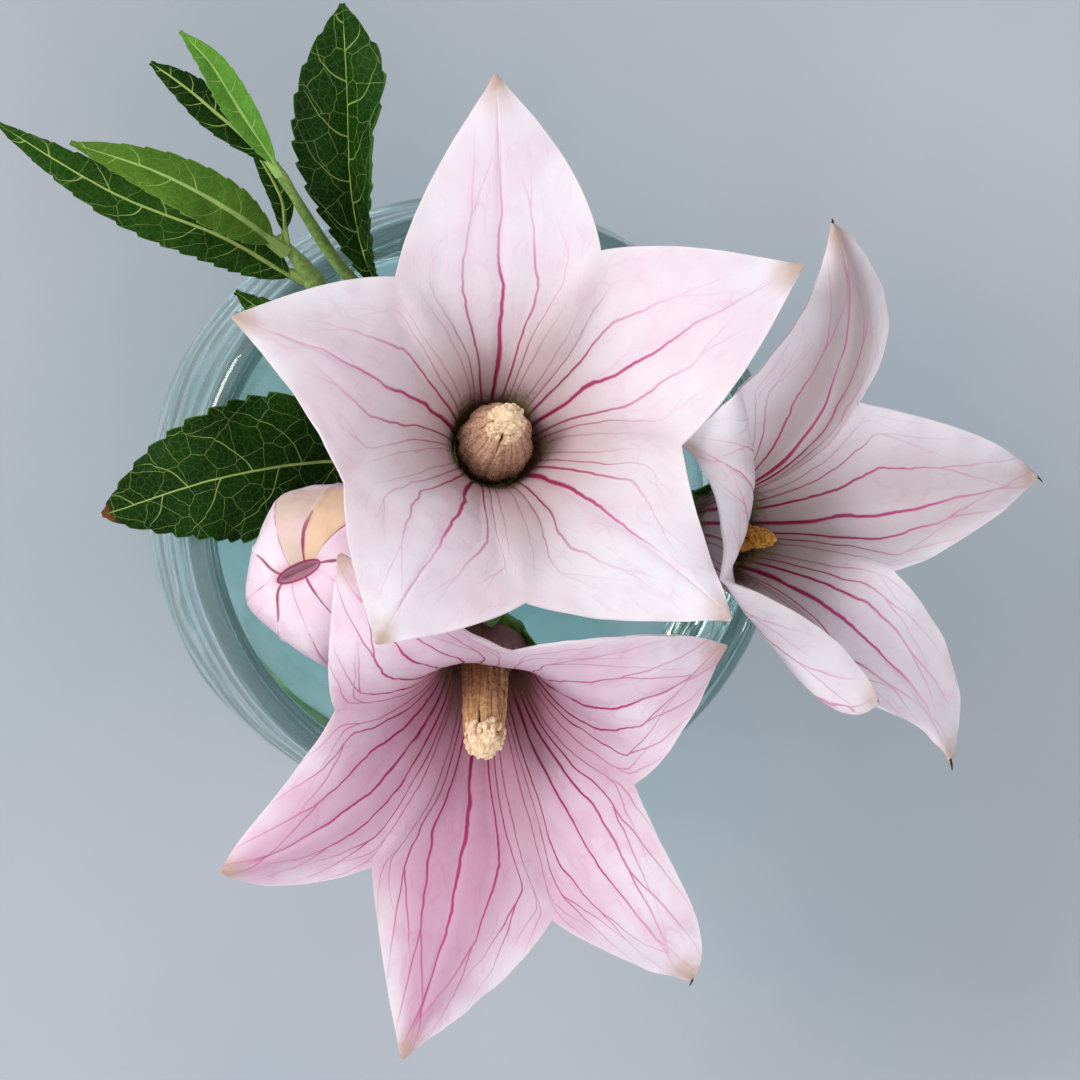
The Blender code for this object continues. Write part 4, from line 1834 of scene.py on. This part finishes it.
@dataclass
class Bowl:
    """The thick glass bowl, with faint rings left in its wall, and the water in it."""

    ripple: float = 0.14
    wave: float = 0.55
    segments: int = 160

    def outside(self, height: float) -> float:
        """Outer radius at a height.

        Args:
            height: The height in millimetres.

        Returns:
            The radius in millimetres.
        """
        if height < BELLY_HEIGHT:
            drop = 1 - height / BELLY_HEIGHT
            return BELLY_RADIUS - (BELLY_RADIUS - FOOT_RADIUS) * drop ** 2.4
        climb = (height - BELLY_HEIGHT) / (BOWL_HEIGHT - BELLY_HEIGHT)
        return BELLY_RADIUS - (BELLY_RADIUS - RIM_RADIUS) * climb ** 2

    def inside(self, height: float) -> float:
        """Inner radius at a height.

        Args:
            height: The height in millimetres.

        Returns:
            The radius in millimetres.
        """
        if height >= BELLY_HEIGHT:
            return self.outside(height) - WALL
        drop = 1 - (height - FLOOR_HEIGHT) / (BELLY_HEIGHT - FLOOR_HEIGHT)
        full = BELLY_RADIUS - WALL
        return full - (full - FLOOR_RADIUS) * max(drop, 0) ** 2.2

    def rings(self, height: float) -> float:
        """Faint rise and fall of the wall."""
        return self.ripple * (math.sin(0.75 * height) + 0.5 * math.sin(1.7 * height + 1.0))

    def waved(self, point: Vector) -> Vector:
        """Move a point for the uneven thickness that the wall has between foot and rim.

        Args:
            point: The point, in millimetres.

        Returns:
            Its new place.
        """
        outer = math.hypot(point.x, point.y) > self.inside(max(point.z, FLOOR_HEIGHT)) + 0.5 * WALL
        calm = smooth_step(1, 8, point.z) * smooth_step(BOWL_HEIGHT - 1, BOWL_HEIGHT - 12, point.z)
        swell = self.wave * calm * noise.noise(point * 0.085)
        shrink = 1 - swell * (1 if outer else 0.4) / max(math.hypot(point.x, point.y), 1)
        return widened(point, shrink)

    def build(self, glass: bpy.types.Material, water: bpy.types.Material) -> None:
        """Make the bowl and its water.

        Args:
            glass: The bowl's finish.
            water: The water's finish.
        """
        shoulder = BOWL_HEIGHT - RIM_ROLL
        heights = [1 + (shoulder - 1) * i / 54 for i in range(55)]
        outer = [(self.outside(z) - self.ripple * 1.6 + self.rings(z), z) for z in heights]
        depths = [FLOOR_HEIGHT + (shoulder - FLOOR_HEIGHT) * i / 50 for i in range(50, -1, -1)]
        inner = [(self.inside(z) + self.rings(z + 0.8) * 0.7, z) for z in depths]
        middle = (outer[-1][0] + inner[0][0]) / 2
        half = (outer[-1][0] - inner[0][0]) / 2
        rim = [(middle + half * math.cos(math.radians(a)),
                shoulder + RIM_ROLL * math.sin(math.radians(a))) for a in range(12, 180, 12)]
        foot = [(3, 0.9), (12, 0.75), (19, 0.45), (FOOT_RADIUS - 2.6, 0),
                (FOOT_RADIUS - 1, 0), (FOOT_RADIUS - 0.2, 0.35)]
        bottom = [(18, 6.75), (12, 6.9), (3, 7.0)]
        piece = turned([*foot, *outer, *rim, *inner, *bottom], self.segments)
        shape_points(piece, self.waved)
        finish_piece(piece, "bowl_glass", glass, ("glass_bowl",))
        levels = [7.4, 8, 9, 11, 13, 16, 19, 22, 25, 28, 31, 33, WATER_TOP - 0.7]
        sides = [(self.inside(z) - 0.05, z) for z in levels]
        top = self.inside(WATER_TOP)
        still = WATER_TOP - 0.8
        surface_line = [(top - 0.15, WATER_TOP + 0.1), (top - 0.9, WATER_TOP - 0.5),
                        (top - 2.4, WATER_TOP - 0.75), (top - 12, still), (6, still)]
        body = turned([(3, 7.3), (12, 7.25), (18, 7.2), *sides, *surface_line], self.segments)
        finish_piece(body, "bowl_water", water, ("water",))


# ---------------------------------------------------------------- studio


@dataclass(frozen=True)
class Lamp:
    """A square soft light: where it stands and its side in metres, its watts and colour."""

    name: str
    place: Place
    size: float
    power: float
    colour: Colour

    def build(self) -> None:
        """Add it, aimed at the flowers."""
        data = bpy.data.lights.new(self.name, "AREA")
        data.size = self.size
        data.energy = self.power
        data.color = self.colour
        light = bpy.data.objects.new(self.name, data)
        bpy.context.scene.collection.objects.link(light)
        light.location = self.place
        aim = Vector((0, 0, FLOWER_HEIGHT)) - Vector(self.place)
        light.rotation_euler = aim.to_track_quat("-Z", "Y").to_euler()


@dataclass
class Studio:
    """Pale floor, soft light and the camera above the bowl."""

    eye: Place = (-72.861, 15.874, 522.705)
    ahead: Place = (0.16849, -0.04201, -0.98481)
    upward: Place = (0.00357, 0.99911, -0.04201)
    lens: float = 120.0
    sensor: float = 36.0

    def build(self) -> None:
        """Add everything."""
        self.add_camera()
        self.add_floor()
        for lamp in LAMPS:
            lamp.build()
        world = bpy.data.worlds.new("soft_room")
        bpy.context.scene.world = world
        world.use_nodes = True
        sky = world.node_tree.nodes["Background"]
        sky.inputs["Color"].default_value = (*ROOM_COLOUR, 1.0)
        sky.inputs["Strength"].default_value = ROOM_LIGHT
        bpy.context.scene.view_settings.view_transform = "Standard"

    def add_camera(self) -> None:
        """The camera, looking almost straight down."""
        lens = bpy.data.cameras.new("camera")
        lens.lens = self.lens
        lens.sensor_width = self.sensor
        camera = bpy.data.objects.new("camera", lens)
        bpy.context.scene.collection.objects.link(camera)
        ahead, upward = Vector(self.ahead).normalized(), Vector(self.upward)
        right = ahead.cross(upward).normalized()
        upward = right.cross(ahead)
        turn = Matrix((right, upward, -ahead)).transposed().to_4x4()
        camera.matrix_world = Matrix.Translation(Vector(self.eye) * MM) @ turn
        bpy.context.scene.camera = camera

    def add_floor(self) -> None:
        """A wide pale floor."""
        leave_none_selected()
        bpy.ops.mesh.primitive_plane_add(size=FLOOR_SIZE, location=(0, 0, -FLOOR_DROP))
        floor = bpy.context.object
        floor.name = "studio_floor"
        material, g = new_finish("pale_floor")
        tone = g.noise(g.place(), 0.012, 3.0)
        colour = g.mix(g.ease(tone, 0.3, 0.7), *FLOOR_COLOURS)
        g.add("OutputMaterial", {"Surface": surface(g, colour, 0.85)})
        floor.data.materials.append(material)


# ---------------------------------------------------------------- the plant's own sizes

# The third colour of each is the dark foot, partly painted shade
TAN_ANTHER = PollenFinish("tan_anther", (0.30, 0.13, 0.055), (0.68, 0.42, 0.20),
                          (0.20, 0.085, 0.065), 0.5, top_height=0.9)
BROWN_ANTHER = PollenFinish("brown_anther", (0.30, 0.14, 0.085), (0.68, 0.43, 0.29),
                            (0.14, 0.062, 0.040), 0.25, top_height=0.78)
OCHRE_ANTHER = PollenFinish("ochre_anther", (0.24, 0.085, 0.014), (0.70, 0.36, 0.08),
                            (0.10, 0.03, 0.01), 0.25)
CREAM_POLLEN = PollenFinish("cream_pollen", (0.62, 0.38, 0.20), (0.92, 0.76, 0.54),
                            (0.5, 0.3, 0.15), 0.0, crumbs=1.4)
OCHRE_POLLEN = PollenFinish("ochre_pollen", (0.42, 0.16, 0.02), (0.76, 0.40, 0.08),
                            (0.3, 0.12, 0.03), 0.0, crumbs=1.4)

TOP_PETALS = PetalFinish("top_petal", (0.93, 0.90, 0.93), (0.91, 0.75, 0.82), depth=0.62,
                         shade=(0.60, 0.44, 0.46), shaded_lobes=(0.0, 0.0, 0.65))
FRONT_PETALS = PetalFinish("front_petal", (0.94, 0.87, 0.93), (0.86, 0.58, 0.72),
                           vein=(0.28, 0.008, 0.06), faint_vein=(0.62, 0.06, 0.26),
                           richness=1.6, lasting=0.22, depth=0.66,
                           throat=(0.34, 0.15, 0.15), moss=(0.30, 0.20, 0.12),
                           shade=(0.48, 0.19, 0.28), lobe_shade=(0.70, 0.38, 0.53),
                           shaded_lobes=(0.0, 0.0, 0.7, 0.85))
RIGHT_PETALS = PetalFinish("right_petal", (0.94, 0.90, 0.93), (0.88, 0.77, 0.82),
                           richness=1.25, lasting=0.12, throat=(0.12, 0.07, 0.045),
                           depth=0.52, shade=(0.52, 0.40, 0.41), lobe_shade=(0.50, 0.385, 0.39),
                           shaded_lobes=(0.45, 0.8, 0.45))
BUD_PETALS = BudFinish("bud_petal", (0.93, 0.82, 0.88), (0.90, 0.62, 0.76), glow=0.2,
                       tip=(0.60, 0.20, 0.32), shade=(0.80, 0.52, 0.62), richness=0.4)

FLOWERS = (
    Flower("top_flower", (-1, 8, 65), 12, 90,
           ((-0.6, 3, 46), (1, -2, 26), (2, -5, ROOT_HEIGHT)), TOP_PETALS, Slot.TOP_PETALS,
           (Lobe(27, 40, 26, 24), Lobe(93, 42, 26, 24, (0.16, 0.04)),
            Lobe(162, 37, 25, 24, EDGE_BOW, (-0.08, -0.02)), Lobe(237, 34, 25, 25),
            Lobe(314, 36, 25, 25, EDGE_BOW, (-0.05, -0.01))),
           ((62, 24, 21), (129, 23, 20), (201, 23, 21), (271, 23, 21), (351, 21, 20)),
           column_shift=(0, 1.4), girth=(4.6, 4.85, 4.4, 3.3, 2.2), head=2.25,
           anther=BROWN_ANTHER, pollen=CREAM_POLLEN),
    Flower("front_flower", (-1.5, -18, 64), 42, 262,
           ((1, -7, 50), (5, 3, 30), (4, 8, ROOT_HEIGHT)), FRONT_PETALS, Slot.FRONT_PETALS,
           (Lobe(25, 32, 11, 23, (0.02, 0.02), (0.3, 0.12)), Lobe(128, 32, 9, 22),
            Lobe(206, 36.5, 25, 26, (-0.03, 0.06), (0.14, 0.2)),
            Lobe(259.5, 46, 31, 27, (0.02, 0.02), swing=4),
            Lobe(312, 43, 27, 26, (0.1, 0.1), (0.03, 0.19), thread=True)),
           ((84, 17, 16.5), (166, 20, 16), (232, 22.5, 22), (290, 30, 21), (343, 20, 17)),
           column=19, column_shift=(-0.7, 0), girth=(3.7, 3.1, 2.9, 2.85, 2.7), head=2.45,
           point_length=2.7, anther=TAN_ANTHER, pollen=CREAM_POLLEN),
    Flower("right_flower", (28, -3, 63), 40, 357,
           ((16, -4, 48), (3, -8, 28), (-7, -10, ROOT_HEIGHT)), RIGHT_PETALS,
           Slot.RIGHT_PETALS,
           (Lobe(13, 35.6, 28, 26, (0.1, 0.06), (0.06, 0.1), thread=True),
            Lobe(90.5, 40.5, 19, 25, (0.52, 0.24), (-0.08, -0.1), -8, thread=True),
            Lobe(145, 22, 9, 22, (0.3, 0.1), (0.12, -0.3)),
            Lobe(278, 20, 26, 22, (-0.14, -0.14), (0, 0), -35, 1.25),
            Lobe(302, 34, 27, 25, (-0.1, -0.14), (0.32, 0.26), 6, thread=True)),
           ((70, 19, 19), (125, 24, 15), (194, 17, 15), (280, 20, 20), (342, 13, 21)),
           column=11.5, girth=(3.4, 2.7, 2.4, 1.9, 1.2), head=1.1, point_length=2.8,
           anther=OCHRE_ANTHER, pollen=OCHRE_POLLEN),
)
BUD = Bud("bud", (-16.4, -7.4, 61), 26, 180,
          ((-9, -7, 46), (-1, -12, 28), (4, -15, ROOT_HEIGHT)), BUD_PETALS, Slot.BUD_PETALS,
          stem_radius=1.1, tooth_spread=2.9, smoothing=3)

SHOOTS = (
    Stalk("leafy_stem", ((-7, 2, ROOT_HEIGHT), (-10, 12, 30), (-18, 23, 52),
                         (-23.5, 29.5, 62), (-28.5, 35, 67)), 1.15, (0.5, 0.76), 0.4),
    Stalk("sprig_stem", ((16, 5, ROOT_HEIGHT), (8, 14, 32), (-10, 25, 54),
                         (-19.5, 30.5, 63), (-30, 43.5, 76)), 0.8, (0.52, 0.97), 0.7),
)

OLD = LeafFinish("old_leaf", length=56, pitch=8.5, brown=0.035)
TALL = LeafFinish("tall_leaf_green", length=44, pitch=6.5)
LONG = LeafFinish("long_leaf_green", (0.005, 0.026, 0.001), (0.020, 0.078, 0.004), length=42,
                  pitch=7.0, net=0.8)
UNDER = LeafFinish("leaf_underside", (0.045, 0.12, 0.010), (0.11, 0.23, 0.022),
                   (0.34, 0.50, 0.14), (0.20, 0.34, 0.06), 30, 7.0, 0.6, rib=0.6)
YOUNG = LeafFinish("young_leaf", (0.06, 0.19, 0.02), (0.14, 0.34, 0.04), (0.36, 0.55, 0.15),
                   (0.2, 0.4, 0.08), 24, 5.0, 0.5)
SMALL = LeafFinish("small_leaf_green", length=20, pitch=4.0, net=0.5)

LEAVES = (
    LeafBlade("broad_left_leaf", ((-2.5, 3.8, 48), (-18, 6.4, 55.3), (-34.5, 4.6, 61.3),
                                  (-50.4, -0.5, 58.5)), 19.4, OLD, folds=(-15, 4),
              fullness=0.76, peak=0.56, teeth=20, tooth=0.8, wave=0.9, stalk=0.7),
    LeafBlade("tucked_leaf", ((-2.8, 6.4, 54), (-14, 17, 61), (-25, 22, 64), (-34, 28, 66)),
              9, LONG, teeth=14),
    LeafBlade("tall_leaf", ((-13, 26.6, 59.4), (-17, 32, 64.5), (-19.6, 41, 70),
                            (-20.6, 51, 74.5), (-21.8, 63.3, 78)), 15, TALL, folds=(2, 76),
              fullness=0.9, peak=0.7, teeth=15, tooth=0.6, wave=0.6, stalk=0.6,
              tip_folds=(6, 24)),
    LeafBlade("long_lower_leaf", ((-27, 30.2, 63.5), (-36, 35, 66), (-49.5, 40.3, 66),
                                  (-64, 49, 64)), 8, LONG, folds=(5, 5), teeth=16,
              stalk=0.8, foot=(-24.2, 29.6, 62.4)),
    LeafBlade("long_upper_leaf", ((-29.5, 34.4, 67.6), (-36, 38.4, 72), (-45, 42.7, 74),
                                  (-55, 46, 73)), 7, UNDER, Slot.PALE_LEAF, (12, 12),
              teeth=12, tooth=0.3, stalk=1.0, foot=(-27.6, 33.2, 65.8)),
    LeafBlade("sprig_light_leaf", ((-30.1, 43.6, 76.7), (-34.9, 50.2, 80), (-38.5, 55.2, 83),
                                   (-42.2, 58.9, 84)), 4.4, YOUNG, Slot.YOUNG_LEAF, (20, 20),
              teeth=10, tooth=0.2, wave=0.2, stalk=0.55, foot=(-29.3, 42.2, 75.2)),
    LeafBlade("sprig_dark_leaf", ((-30.4, 44, 75.9), (-36.3, 48.8, 77), (-41, 52.6, 77.5),
                                  (-45.4, 55.6, 78)), 4.8, SMALL, teeth=9, tooth=0.35,
              stalk=0.5, foot=(-29.3, 42.2, 75.0)),
    LeafBlade("small_dark_leaf", ((-27.9, 35.9, 67.4), (-28.5, 39.4, 69.7), (-30.5, 43, 71.5),
                                  (-32.5, 46, 71.5)), 3, SMALL, teeth=6, tooth=0.2, wave=0.2,
              stalk=0.4, foot=(-27.5, 34.2, 66.3)),
)

GREEN_STEM = StemFinish("green_stem", (0.07, 0.17, 0.025), (0.22, 0.38, 0.08))
GREEN_CALYX = StemFinish("green_calyx", (0.05, 0.15, 0.015), (0.17, 0.35, 0.05),
                         (1.2, 1.2, 0.5))
SHOOT_STEM = StemFinish("shoot_stem", (0.14, 0.27, 0.045), (0.34, 0.48, 0.13))
GLASS = ClearFinish("teal_glass", (0.88, 0.97, 0.97), (0.70, 0.90, 0.91), 1.5, 0.5, 0.02)
WATER = ClearFinish("still_water", (0.92, 0.97, 0.97), (0.74, 0.88, 0.88), 1.33, 0.6,
                    clearness=0.96)

LAMPS = (
    Lamp("window_light", (-0.62, 0.24, 0.54), 0.34, 5.2, (1.0, 0.99, 0.98)),
    Lamp("fill_light", (0.32, -0.56, 0.58), 0.7, 3.2, (0.97, 0.98, 1.0)),
)


def main() -> None:
    """Build the bowl, the flowers, the bud and the leaves, then the studio."""
    logging.basicConfig(level=logging.INFO, format="%(name)s: %(message)s")
    Bowl().build(GLASS.material(), WATER.material())
    stem, calyx = GREEN_STEM.material(), GREEN_CALYX.material()
    for bloom in (*FLOWERS, BUD):
        bloom.build_corolla()
        bloom.build_calyx(calyx)
        Stalk(bloom.name + "_stem", bloom.stem_route(), bloom.stem_radius).build(stem)
        if isinstance(bloom, Flower):
            bloom.build_column()
    shoot = SHOOT_STEM.material()
    for stalk in SHOOTS:
        stalk.build(shoot)
    for leaf in LEAVES:
        leaf.build()
    Studio().build()
    bpy.context.view_layer.update()


if __name__ == "__main__":
    main()
